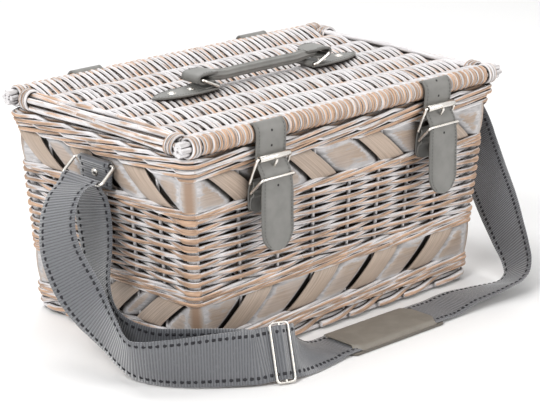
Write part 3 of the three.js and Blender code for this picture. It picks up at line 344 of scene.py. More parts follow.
class Strands:
    """Gathers lofted rods and strips, in millimetres, into one mesh with data for its material."""

    def __init__(self):
        self.points, self.faces, self.grain, self.wear_and_painted_light = [], [], [], []
        self.count = 0

    def loft(self, rings, grain, wear_and_painted_light, closed=False):
        n, m, _ = rings.shape
        base = self.count
        i = np.arange(n if closed else n - 1)[:, None]
        j = np.arange(m)[None, :]
        k = (j + 1) % m
        a, b = base + i * m, base + ((i + 1) % n) * m
        self.faces += np.stack([a + j, a + k, b + k, b + j], axis=-1).reshape(-1, 4).tolist()
        if not closed:
            self.faces.append(list(range(base, base + m))[::-1])
            self.faces.append(list(range(base + (n - 1) * m, base + n * m)))
        self.points.append(rings.reshape(-1, 3))
        self.grain.append(np.broadcast_to(grain, (n, m, 3)).reshape(-1, 3))
        self.wear_and_painted_light.append(np.broadcast_to(wear_and_painted_light, (n, m)).reshape(-1))
        self.count += n * m

    def rod(self, path, radius, up, tone=0.5, wear_and_painted_light=1.0, sides=7, flat=1.0, closed=False, inside=0.0):
        """A round rod along a path: wear polishes the side that looks up, and inside turns the other side
        near-black, unwashed brown deepened into painted shade of the basket's inside.
        """
        path = np.asarray(path, float)
        n = len(path)
        along = tangents(path, closed)
        up = np.broadcast_to(np.asarray(up, float), path.shape)
        side = unit(np.cross(along, up))
        out = np.cross(side, along)
        radius = np.broadcast_to(np.asarray(radius, float), (n,))[:, None, None]
        angle = np.arange(sides) * 2 * math.pi / sides
        rings = path[:, None] + radius * (
            np.cos(angle)[None, :, None] * side[:, None] + flat * np.sin(angle)[None, :, None] * out[:, None]
        )
        grain = np.zeros((n, sides, 3))
        grain[..., 0] = lengths(path)[:, None] * MM
        grain[..., 1] = np.arange(sides)[None] / sides
        grain[..., 2] = np.broadcast_to(np.asarray(tone, float), (n,))[:, None]
        polish_and_inner_shade = np.clip(np.sin(angle), 0, 1)[None] * np.broadcast_to(np.asarray(wear_and_painted_light, float), (n,))[:, None]
        # Painted shade: the side facing inwards goes below zero, which the materials turn near-black.
        polish_and_inner_shade = polish_and_inner_shade - inside * np.clip(-np.sin(angle), 0, 1)[None]
        self.loft(rings, grain, polish_and_inner_shade, closed)

    def strip(self, path, across, half_width, half_thick, out):
        """A flat strip: its width lies along across and its face looks out."""
        path = np.asarray(path, float)
        n = len(path)
        across = np.broadcast_to(np.asarray(across, float), path.shape)
        out = np.broadcast_to(np.asarray(out, float), path.shape)
        half_width = np.broadcast_to(np.asarray(half_width, float), (n,))[:, None, None]
        half_thick = np.broadcast_to(np.asarray(half_thick, float), (n,))[:, None, None]
        a, b = FLAT_SECTION[:, 0], FLAT_SECTION[:, 1]
        wide, deep = a[None, :, None] * half_width, b[None, :, None] * half_thick
        rings = path[:, None] + wide * across[:, None] + deep * out[:, None]
        grain = np.full((n, len(FLAT_SECTION), 3), 0.5)
        grain[..., 0] = lengths(path)[:, None] * MM
        grain[..., 1] = a[None] * half_width[..., 0] * MM
        self.loft(rings, grain, 1 - smooth_step(0.9, 1.0, np.abs(a))[None])

    def lathe(self, profile, origin, axis, sides=16):
        """A turned solid from (radius, height) pairs along an axis."""
        axis = unit(np.asarray(axis, float))
        helper = np.array([0, 0, 1.0]) if abs(axis[2]) < 0.9 else np.array([1.0, 0, 0])
        x = unit(np.cross(axis, helper))
        y = np.cross(axis, x)
        angle = np.arange(sides) * 2 * math.pi / sides
        circle = np.cos(angle)[:, None] * x + np.sin(angle)[:, None] * y
        rings = np.array([np.asarray(origin) + r * circle + h * axis for r, h in profile])
        self.loft(rings, np.zeros(3), 1.0)

    def build(self, name, material, body, slot):
        mesh = bpy.data.meshes.new(name)
        points = np.vstack(self.points) * MM
        mesh.from_pydata(points.tolist(), [], self.faces)
        grain = mesh.attributes.new("grain", "FLOAT_VECTOR", "POINT")
        grain.data.foreach_set("vector", np.vstack(self.grain).astype(np.float32).ravel())
        wear_and_painted_light = mesh.attributes.new("wear_and_painted_light", "FLOAT", "POINT")
        wear_and_painted_light.data.foreach_set("value", np.concatenate(self.wear_and_painted_light).astype(np.float32))
        mesh.materials.append(material)
        mesh.polygons.foreach_set("use_smooth", np.full(len(mesh.polygons), True))
        mesh.update()
        obj = bpy.data.objects.new(name, mesh)
        bpy.context.scene.collection.objects.link(obj)
        turn_out(obj)
        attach(obj, body)
        return obj


def turn_out(obj):
    """Turns the faces of a closed mesh outwards and keeps its cut ends crisp."""
    work = bmesh.new()
    work.from_mesh(obj.data)
    bmesh.ops.recalc_face_normals(work, faces=work.faces)
    work.to_mesh(obj.data)
    work.free()
    obj.data.set_sharp_from_angle(angle=math.radians(50))


class Shader:
    """A short way to lay out a material's nodes."""

    def __init__(self, name):
        self.material = bpy.data.materials.new(name)
        self.material.use_nodes = True
        self.tree = self.material.node_tree
        self.surface = self.tree.nodes["Principled BSDF"]

    def node(self, kind, inputs=None, **settings):
        made = self.tree.nodes.new(kind)
        for key, value in settings.items():
            setattr(made, key, value)
        for key, value in (inputs or {}).items():
            self.feed(made.inputs[key], value)
        return made

    def feed(self, socket, value):
        if isinstance(value, bpy.types.NodeSocket):
            self.tree.links.new(value, socket)
        else:
            socket.default_value = value

    def math(self, operation, a, b):
        return self.node("ShaderNodeMath", {0: a, 1: b}, operation=operation).outputs[0]

    def noise(self, vector, scale, detail=3.0, roughness=0.55):
        inputs = {"Vector": vector, "Scale": scale, "Detail": detail, "Roughness": roughness}
        return self.node("ShaderNodeTexNoise", inputs).outputs["Fac"]

    def stretched(self, u, v, seed, along, across, detail=3.0, roughness=0.55):
        """Noise on a strand: its fineness along the strand and across it, and a seed of its own."""
        place = self.vector(self.math("MULTIPLY", u, along), self.math("MULTIPLY", v, across), seed)
        return self.noise(place, 1.0, detail, roughness)

    def ramp(self, factor, low, high):
        inputs = {"Value": factor, "From Min": low, "From Max": high}
        return self.node("ShaderNodeMapRange", inputs, interpolation_type="SMOOTHSTEP").outputs["Result"]

    def mix(self, factor, a, b):
        made = self.node("ShaderNodeMix", data_type="RGBA")
        self.feed(made.inputs["Factor"], factor)
        for key, value in ((6, a), (7, b)):
            self.feed(made.inputs[key], value if isinstance(value, bpy.types.NodeSocket) else (*value, 1))
        return made.outputs[2]

    def grain(self):
        """Distance along the strand, place across it, its tone, and its wear, which also carries painted
        light: painted shade below zero.
        """
        place = self.node("ShaderNodeAttribute", attribute_name="grain").outputs[1]
        split = self.node("ShaderNodeSeparateXYZ", {0: place})
        wear_and_painted_light = self.node("ShaderNodeAttribute", attribute_name="wear_and_painted_light").outputs["Fac"]
        return (*split.outputs, wear_and_painted_light)

    def open_sky(self, distance, low, high):
        """How freely light reaches a spot: 0 in a crevice, 1 in the open."""
        node = self.node("ShaderNodeAmbientOcclusion", {"Distance": distance}, samples=6)
        return self.ramp(node.outputs["AO"], low, high)

    def vector(self, x, y, z):
        return self.node("ShaderNodeCombineXYZ", {0: x, 1: y, 2: z}).outputs[0]

    def bump(self, height, distance, strength):
        inputs = {"Height": height, "Distance": distance, "Strength": strength}
        self.feed(self.surface.inputs["Normal"], self.node("ShaderNodeBump", inputs).outputs[0])

    def finish(self, colour, roughness, metallic=0.0):
        self.feed(self.surface.inputs["Base Color"], colour)
        self.feed(self.surface.inputs["Roughness"], roughness)
        self.surface.inputs["Metallic"].default_value = metallic
        return self.material


def scaled(colour, factor):
    return tuple(min(c * factor, 1.0) for c in colour)


def willow_material(name, wash=0.5, tan=1.0):
    """Whitewashed willow: tan on the rubbed crowns, white on the sides, near-black brown on the inner sides
    as painted shade over the unwashed brown, and painted shade in the gaps.
    """
    s = Shader(name)
    u, v, tone, wear_and_painted_light = s.grain()
    seed = s.math("MULTIPLY", tone, 37.0)
    streaks = s.stretched(u, v, seed, 30.0, 5.0, 4.0, 0.6)
    patches = s.stretched(u, v, s.math("ADD", seed, 9.0), 30.0, 2.2)
    fibre = s.stretched(u, v, seed, 150.0, 24.0, 2.0)
    willow, white = colours().willow, colours().wash
    warm = s.mix(s.ramp(streaks, 0.34, 0.66), scaled(willow, 0.6 * tan), scaled(willow, 1.22 * tan))
    spots = s.math("MULTIPLY", s.ramp(patches, 0.28, 0.72), 0.4)
    bare = s.math("ADD", s.math("MULTIPLY", wear_and_painted_light, 0.95), spots)
    bare = s.math("ADD", bare, s.math("MULTIPLY", tone, 0.22))
    edge = 0.9 + 0.8 * (wash - 0.5)
    rubbed = s.ramp(bare, edge - 0.16, edge + 0.16)
    colour = s.mix(rubbed, s.mix(s.ramp(streaks, 0.3, 0.6), scaled(white, 0.74), white), warm)
    colour = s.mix(s.ramp(fibre, 0.6, 0.76), colour, s.mix(0.5, colour, scaled(willow, 0.3)))
    # Painted shade: below zero the inner sides go near-black brown, unwashed willow darkened to stand for the
    # shade inside the basket.
    colour = s.mix(s.ramp(wear_and_painted_light, -0.15, -0.5), colour, scaled(willow, 0.16))
    # Painted shade: ambient occlusion darkens crevices and the gaps between rods to deep brown.
    colour = s.mix(s.open_sky(0.009, 0.16, 0.66), scaled(willow, 0.07), colour)
    s.bump(fibre, 0.0006, 0.5)
    return s.finish(colour, s.math("SUBTRACT", 0.75, s.math("MULTIPLY", rubbed, 0.25)))


def chip_material(name, bare, paled):
    """Split chip wood: straight grain, a rubbed window in the middle and whitewash round it; near-black on
    the inner face and in crevices as painted shade.
    """
    s = Shader(name)
    u, v, tone, wear_and_painted_light = s.grain()
    seed = s.math("MULTIPLY", tone, 21.0)
    grain = s.stretched(u, v, seed, 14.0, 620.0, 4.0, 0.65)
    brush = s.stretched(u, v, seed, 45.0, 260.0, 4.0, 0.6)
    clouds = s.stretched(u, v, seed, 30.0, 60.0)
    chip, white = colours().chip, colours().wash
    base = s.mix(s.ramp(grain, 0.3, 0.7), scaled(chip, 0.72), scaled(chip, 1.14))
    base = s.mix(paled, base, s.mix(s.ramp(clouds, 0.3, 0.7), scaled(chip, 0.62), scaled(white, 0.6)))
    rub = s.math("ADD", wear_and_painted_light, s.math("MULTIPLY", s.math("ADD", brush, clouds), 1.1))
    washed = s.math("SUBTRACT", 1.0, s.ramp(rub, 1.72 - bare, 1.98 - bare))
    colour = s.mix(washed, base, s.mix(s.ramp(brush, 0.3, 0.7), scaled(white, 0.48), scaled(white, 0.84)))
    worn = s.math("MULTIPLY", s.ramp(s.math("ADD", wear_and_painted_light, s.math("MULTIPLY", clouds, 0.3)), 0.95, 1.6), 0.9)
    colour = s.mix(worn, colour, scaled(colours().willow, 0.55))
    # Painted shade: below zero the inner face goes near-black, bare chip darkened to stand for the shade
    # inside the basket.
    colour = s.mix(s.ramp(wear_and_painted_light, -0.2, -0.6), colour, scaled(chip, 0.2))
    # Painted shade: ambient occlusion darkens crevices and the dips under the strips.
    colour = s.mix(s.open_sky(0.025, 0.16, 0.72), scaled(chip, 0.1), colour)
    s.bump(grain, 0.0005, 0.4)
    return s.finish(colour, s.math("ADD", 0.45, s.math("MULTIPLY", washed, 0.2)))


def leather_material(name, colour, cut=0.75):
    """Smooth strap leather with a fine pebble, faint cloudiness and darker cut edges."""
    s = Shader(name)
    place = s.node("ShaderNodeTexCoord").outputs["Object"]
    wear_and_painted_light = s.grain()[3]
    clouds = s.noise(place, 55.0, 3.0)
    pebble = s.noise(place, 1500.0, 2.0)
    colour = tuple(colour)
    tint = s.mix(s.ramp(clouds, 0.3, 0.7), scaled(colour, 0.9), scaled(colour, 1.1))
    tint = s.mix(s.ramp(wear_and_painted_light, 0.2, 0.9), scaled(colour, cut), tint)
    s.bump(pebble, 0.0002, 0.35)
    return s.finish(tint, s.math("ADD", 0.36, s.math("MULTIPLY", pebble, 0.18)))


def webbing_material(name):
    """Ribbed cotton webbing, with painted highlights on the ribs and painted shade between them."""
    s = Shader(name)
    u, v = s.grain()[:2]
    rib = s.math("PINGPONG", s.math("DIVIDE", u, sizes().rib_pitch), 0.5)
    yarn = s.stretched(u, v, 0.0, 900.0, 260.0, 2.0)
    colour = colours().webbing
    # Painted highlight and shade: lighter on the ribs' crests, darker in the grooves between them.
    tint = s.mix(s.ramp(rib, 0.1, 0.48), scaled(colour, 1.2), scaled(colour, 0.55))
    tint = s.mix(s.ramp(yarn, 0.5, 0.8), tint, scaled(colour, 1.35))
    s.bump(yarn, 0.0003, 0.4)
    s.surface.inputs["Specular IOR Level"].default_value = 0.8
    s.surface.inputs["Sheen Weight"].default_value = 1.0
    s.surface.inputs["Sheen Roughness"].default_value = 0.45
    return s.finish(tint, 0.34)


def thread_material(name, colour):
    s = Shader(name)
    place = s.node("ShaderNodeTexCoord").outputs["Object"]
    twist = s.noise(place, 2400.0, 2.0)
    s.bump(twist, 0.0003, 0.4)
    return s.finish(s.mix(twist, scaled(colour, 0.6), scaled(colour, 1.3)), 0.7)


def metal_material(name):
    """Nickel-plated wire with faint drawing marks."""
    s = Shader(name)
    place = s.node("ShaderNodeTexCoord").outputs["Object"]
    haze = s.noise(place, 180.0, 3.0)
    nickel = tuple(colours().nickel)
    tint = s.mix(haze, scaled(nickel, 0.85), scaled(nickel, 1.08))
    return s.finish(tint, s.math("ADD", 0.16, s.math("MULTIPLY", haze, 0.16)), 1.0)


def shared(name, make, *args):
    return bpy.data.materials.get(name) or make(name, *args)


def stations(spacing=4.5):
    """Places round the basket: the stretch of eight that each lies on, its share of it, its stake count."""
    stretch, part, stake = [], [], []
    first = 0
    for number in range(8):
        shares = (0,) if number % 2 else STAKES[number // 2]
        straight = 2 * (HALF_X + 11 if number % 4 == 0 else HALF_Y + 3)
        span = CORNER * math.pi / 2 if number % 2 else straight
        count = max(int(span / spacing), 5)
        t = np.arange(count) / count
        stretch.append(np.full(count, number))
        part.append(t)
        stake.append(first + (0 * t if number % 2 else np.interp(t, shares, np.arange(len(shares)))))
        first += len(shares) - 1
    return np.concatenate(stretch), np.concatenate(part), np.concatenate(stake)


def wall(stretch, part, z, offset):
    """Points on the leaning wall at a height and an offset from the bands' face, and the way out of it."""
    z = np.broadcast_to(np.asarray(z, float), part.shape)
    reach = CORNER + np.broadcast_to(np.asarray(offset, float), part.shape)
    ax, ay = HALF_X + LEAN_X * z, HALF_Y + LEAN_Y * z
    quarter, corner = stretch // 2, stretch % 2 == 1
    turn = np.where(corner, part, 0.0)
    angle = (quarter + turn - 1) * math.pi / 2
    out = np.stack([np.cos(angle), np.sin(angle), np.zeros_like(angle)], axis=-1)
    slide = np.where(corner, 1.0, 2 * part - 1)
    which = [quarter == 0, quarter == 1, quarter == 2]
    cx = np.select(which, [slide * ax, ax, -slide * ax], -ax)
    cy = np.select(which, [-ay, slide * ay, ay], -slide * ay)
    return np.stack([cx, cy, z], axis=-1) + out * reach[:, None], out


def half_length(stretch, z):
    """Half the straight length of a wall at a height."""
    return np.where(stretch % 4 == 0, HALF_X + LEAN_X * z, HALF_Y + LEAN_Y * z)


def patchy(rng, count, pieces):
    """A tone for each sample that changes where one rod ends and the next is laid in."""
    cuts = sorted(rng.randrange(count) for _ in range(pieces - 1))
    tone = np.empty(count)
    for a, b in zip([0, *cuts], [*cuts, count]):
        tone[a:b] = rng.random()
    return tone


def weave_value(stake, parity):
    """Which side of the stakes a weaver is on, from -1 inside to 1 outside."""
    return np.cos(math.pi * (stake + parity))


class BASKET_OT_wall_weave(bpy.types.Operator):
    """Weaves the wall field over its stakes and corner posts, and the floor of the basket"""

    bl_idname = "basket.wall_weave"
    bl_label = "Weave walls"

    def execute(self, context):
        rng = random.Random(sizes().seed)
        weave = Strands()
        stretch, part, stake = stations()
        pitch = sizes().row_pitch / MM
        radius = sizes().weaver_diameter / MM / 2
        rows = int(round((FIELD_TOP - FIELD_BOTTOM) / pitch))
        for row in range(rows):
            side = weave_value(stake, row)
            drift = 0.35 * np.sin(stake * 1.7 + rng.random() * 6.28)
            z = FIELD_BOTTOM + pitch * (row + 0.5) + drift
            thick = radius * (1 + 0.1 * np.sin(stake * 0.9 + rng.random() * 6.28))
            thick *= np.where((stretch % 2 == 1) & (side > 0), 1.45, 1.0)
            closer = smooth_step(CORNERS[1], CORNERS[1] + 0.7, stake)
            closer = closer * smooth_step(CORNERS[3], CORNERS[3] - 0.7, stake)
            path, out = wall(stretch, part, z, WEAVE_DEPTH + (3.4 - 1.5 * closer) * side)
            wear_and_painted_light = 0.42 + 0.6 * (side + 1) / 2 + 0.35 * (stretch % 2)
            thick *= 1 + 0.35 * closer
            weave.rod(path, thick, out, patchy(rng, len(path), 5), wear_and_painted_light, closed=True, inside=1.0)
        walls = weave.build("wall_weave", shared("washed_willow", willow_material), "basket", "willow")
        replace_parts(walls, "front_wall", "rear_wall", "left_wall", "right_wall")

        posts = Strands()
        for number in range(8):
            for t in (0.5,) if number % 2 else STAKES[number // 2][1:-1]:
                z = np.linspace(2, BORDER_TOP - 12, 24)
                spot = np.full(24, number)
                deep = -8.0 if number % 2 else WEAVE_DEPTH
                path, out = wall(spot, np.full(24, t), z, deep)
                posts.rod(path, 6.0 if number % 2 else 1.8, out, 0.6 + 0.4 * rng.random(), 0.5, sides=9)
        pale = shared("pale_willow", willow_material, 0.75)
        stakes = posts.build("stakes_and_posts", pale, "basket", "willow")
        corners = [f"corner_post_{row}_{word}" for row, _ in ROWS for word, _ in SIDES]
        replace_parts(stakes, *corners)

        floor = Strands()
        reach, spacing = 104, 26
        y = np.linspace(-reach, reach, 78)
        for i, x in enumerate(np.arange(-174, 175, 4.2)):
            lift = 2.6 * np.cos(math.pi * y / spacing + math.pi * (i % 2))
            path = np.stack([np.full_like(y, x), y, BASE_MIDDLE + lift], axis=-1)
            floor.rod(path, 1.9, (0, 0, 1), rng.random(), 0.5, sides=6)
        for y in np.arange(-reach, reach + 1, spacing):
            x = np.linspace(-176, 176, 12)
            path = np.stack([x, np.full(12, y), np.full(12, BASE_MIDDLE)], axis=-1)
            floor.rod(path, 2.2, (0, 0, 1), rng.random(), 0.5, sides=6)
        base = floor.build("base_weave", shared("bare_willow", willow_material, 0.1, 0.5), "basket", "willow")
        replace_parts(base, "base_panel")
        return {"FINISHED"}


def wale(strands, rng, z, offset, radius, climb, swing=2.4):
    """A course of rods that twist round each other like rope, each in front of two stakes and behind one."""
    stretch, part, stake = stations()
    turns = stake * (WALE_TURNS / CORNERS[-1])
    for k in range(WALE_RODS):
        p = (turns + k) / WALE_RODS % 1.0
        shown = p < 2 / 3
        rise = np.where(shown, 3 * p - 1, 1 - 6 * (p - 2 / 3))
        swell = np.where(shown, np.sin(math.pi * p * 1.5), -np.sin(math.pi * (p - 2 / 3) * 3))
        path, out = wall(stretch, part, z + climb * rise, offset + swing * swell)
        tone = patchy(rng, len(path), 6)
        wear_and_painted_light = 0.45 + 0.55 * np.clip(swell, 0, 1) + 0.3 * (stretch % 2)
        strands.rod(path, radius, out, tone, wear_and_painted_light, closed=True, inside=1.0)
    # Painted shade: two rods behind the course, near-black on the side that faces out, fill its gaps with
    # dark.
    for lift in (-2.2, 2.2):
        path, out = wall(stretch, part, z + lift, offset - swing - radius - 1.0)
        strands.rod(path, 2.4, out, 0.5, -0.5, closed=True, inside=1.0)


class BASKET_OT_courses(bpy.types.Operator):
    """Lays the wales, the foot and the top border"""

    bl_idname = "basket.courses"
    bl_label = "Lay courses"

    def execute(self, context):
        rng = random.Random(sizes().seed + 1)
        radius = sizes().course_diameter / MM / 2
        willow = shared("washed_willow", willow_material)

        low = Strands()
        wale(low, rng, LOWER_BAND_TOP + 3.6, -2.2, radius * 0.78, climb=3.0)
        wale(low, rng, FIELD_BOTTOM - 3.0, -2.2, radius * 0.78, climb=3.0)
        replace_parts(low.build("lower_wale_rods", willow, "basket", "willow"), "lower_wale")

        high = Strands()
        wale(high, rng, FIELD_TOP + 3.6, -2.2, radius * 0.82, climb=3.6)
        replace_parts(high.build("upper_wale_rods", willow, "basket", "willow"), "upper_wale")

        foot = Strands()
        wale(foot, rng, FOOT_TOP - 4.4, -1.8, radius * 0.84, climb=3.4)
        wale(foot, rng, FOOT_TOP - 11.4, -1.4, radius * 0.84, climb=3.4)
        self.plait(foot, rng, radius * 1.12)
        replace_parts(foot.build("foot_rods", willow, "basket", "willow"), "foot_wale")

        top = Strands()
        for z, offset, climb in ((193.2, -0.4, 5.0), (202.4, 2.8, 5.0), (205.6, -4.2, 2.5)):
            wale(top, rng, z, offset, radius * 0.8, swing=2.2, climb=climb)
        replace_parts(top.build("border_rods", willow, "basket", "willow"), "top_border")
        return {"FINISHED"}

    def plait(self, strands, rng, radius):
        """The foot's border: rods that each end in a cut over the next, and run in behind the one before."""
        stretch, part, stake = stations(3.0)
        total = CORNERS[-1]
        for start in np.arange(0, total):
            reach = (stake - start - rng.uniform(0, 0.2)) % total
            inside = reach < 1.7
            order = np.argsort(reach[inside])
            t = reach[inside][order] / 1.7
            z = 5.4 + 8.6 * smooth_step(0.15, 1.0, t)
            offset = 1.4 - 8.0 * smooth_step(0.25, 1.0, t)
            path, out = wall(stretch[inside][order], part[inside][order], z, offset)
            thick = radius * (0.92 + 0.12 * rng.random()) * np.where(t < 0.02, 0.8, 1.0)
            strands.rod(path, thick, out, rng.random() * 0.45, 0.9, sides=9)
        for low, offset in ((3.2, -3.0), (8.8, -5.0)):
            path, out = wall(stretch, part, low, offset)
            strands.rod(path, 2.9, out, patchy(rng, len(path), 6), 0.3, sides=8, closed=True)


# Of each band: its lower and upper edge, the slant and half width of its strips, and where these stand
# on a long wall and on an end
BAND_STRIPS = {
    "upper": (UPPER_BAND_BOTTOM, UPPER_BAND_TOP, 1.2, 16.5, ((-147, -47, 49, 147), (-88, -11, 66))),
    "lower": (FOOT_TOP, LOWER_BAND_TOP, -1.15, 17.0, ((-129, -38, 47, 131), (-55, 7, 68))),
}


class BASKET_OT_chip_bands(bpy.types.Operator):
    """Lays the two chip-wood bands with their slanting strips"""

    bl_idname = "basket.chip_bands"
    bl_label = "Lay chip bands"

    def execute(self, context):
        rng = random.Random(sizes().seed + 2)
        for name, (low, high, slant, half, places) in BAND_STRIPS.items():
            self.band(name, rng, low, high, slant, half, places)
        return {"FINISHED"}

    def band(self, name, rng, low, high, slant, half, places):
        middle, tall = (low + high) / 2, (high - low) / 2
        stretch, part, _ = stations(2.6)
        levels = np.linspace(-1, 1, 11)
        outer, rub, tones = [], [], []
        for level in levels:
            z = middle + level * (tall + 1.5)
            reach = half_length(stretch, z)
            along = reach * (2 * part - 1)
            lead = slant * (middle - z)
            nearest = np.full(len(part), 60.0)
            tone = np.zeros(len(part))
            for number in range(0, 8, 2):
                here = stretch == number
                for k, spot in enumerate(places[(number // 2) % 2]):
                    gap = np.abs(along - spot - lead)
                    nearest = np.where(here, np.minimum(nearest, gap), nearest)
                    past = here & (along > spot + lead)
                    tone = np.where(past, (number * 5 + k + 1) * 0.137 % 1, tone)
            face = smooth_step(half * 0.55, half + 15, nearest)
            crown = 1.4 * (1 - level**2)
            points, out = wall(stretch, part, z, -8.4 + 8.0 * face + crown)
            outer.append(points)
            round_it = CORNER * 1.5 * np.abs(part - 0.5)
            from_corner = np.where(stretch % 2 == 1, round_it, 7 + reach - np.abs(along))
            window = smooth_step(half + 4, half + 12, nearest) * smooth_step(2, 18, from_corner)
            rub.append(window * (1 - 0.7 * level**4) + 1.5 * (1 - smooth_step(0, 11, from_corner)))
            tones.append(tone)
        outer, rub, tones = np.stack(outer, 1), np.stack(rub, 1), np.stack(tones, 1)
        out = wall(stretch, part, middle, 0.0)[1]
        inner = outer[:, ::-1] - 1.0 * out[:, None]
        rings = np.concatenate([outer, inner], axis=1)
        grain = np.zeros((*rings.shape[:2], 3))
        grain[..., 0] = lengths(outer[:, 5])[:, None] * MM
        grain[..., 1] = np.concatenate([levels, levels[::-1]])[None] * tall * MM
        grain[..., 2] = np.concatenate([tones, tones[:, ::-1]], axis=1)
        panels = Strands()
        # The inner face gets -1, which the material paints as the shade inside the basket.
        panels.loft(rings, grain, np.concatenate([rub, np.full_like(rub, -1.0)], axis=1), closed=True)
        pale = shared("chip_pale", chip_material, 0.0, 0.4)
        made = panels.build(f"{name}_chip_panels", pale, "basket", "chip_wood")
        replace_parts(made, f"{name}_chip_band")

        strips = Strands()
        wide = np.linspace(-1, 1, 9)
        section = np.array([(a, 1.0) for a in wide] + [(a, -1.0) for a in wide[::-1]])
        for number in range(0, 8, 2):
            for spot in places[(number // 2) % 2]:
                level = np.linspace(-1, 1, 15)
                z = middle + level * (tall + 2.5)
                reach = half_length(number, z)
                here = np.full(15, number)
                rings = []
                for a, b in section:
                    t = ((spot + slant * (middle - z) + a * half) / reach + 1) / 2
                    offset = 0.9 - 4.6 * np.abs(level) ** 3 + 0.7 * (1 - a * a) + 0.55 * b
                    rings.append(wall(here, t, z, offset)[0])
                rings = np.stack(rings, axis=1)
                grain = np.zeros((15, len(section), 3))
                grain[..., 0] = z[:, None] * 1.5 * MM
                grain[..., 1] = section[:, 0][None] * half * MM
                grain[..., 2] = rng.random()
                strips.loft(rings, grain, 0.9 - 0.5 * smooth_step(0.75, 1.0, np.abs(section[:, 0]))[None])
        bare = shared("chip_bare", chip_material, 0.6, 0.08)
        strips.build(f"{name}_chip_strips", bare, "basket", "chip_wood")


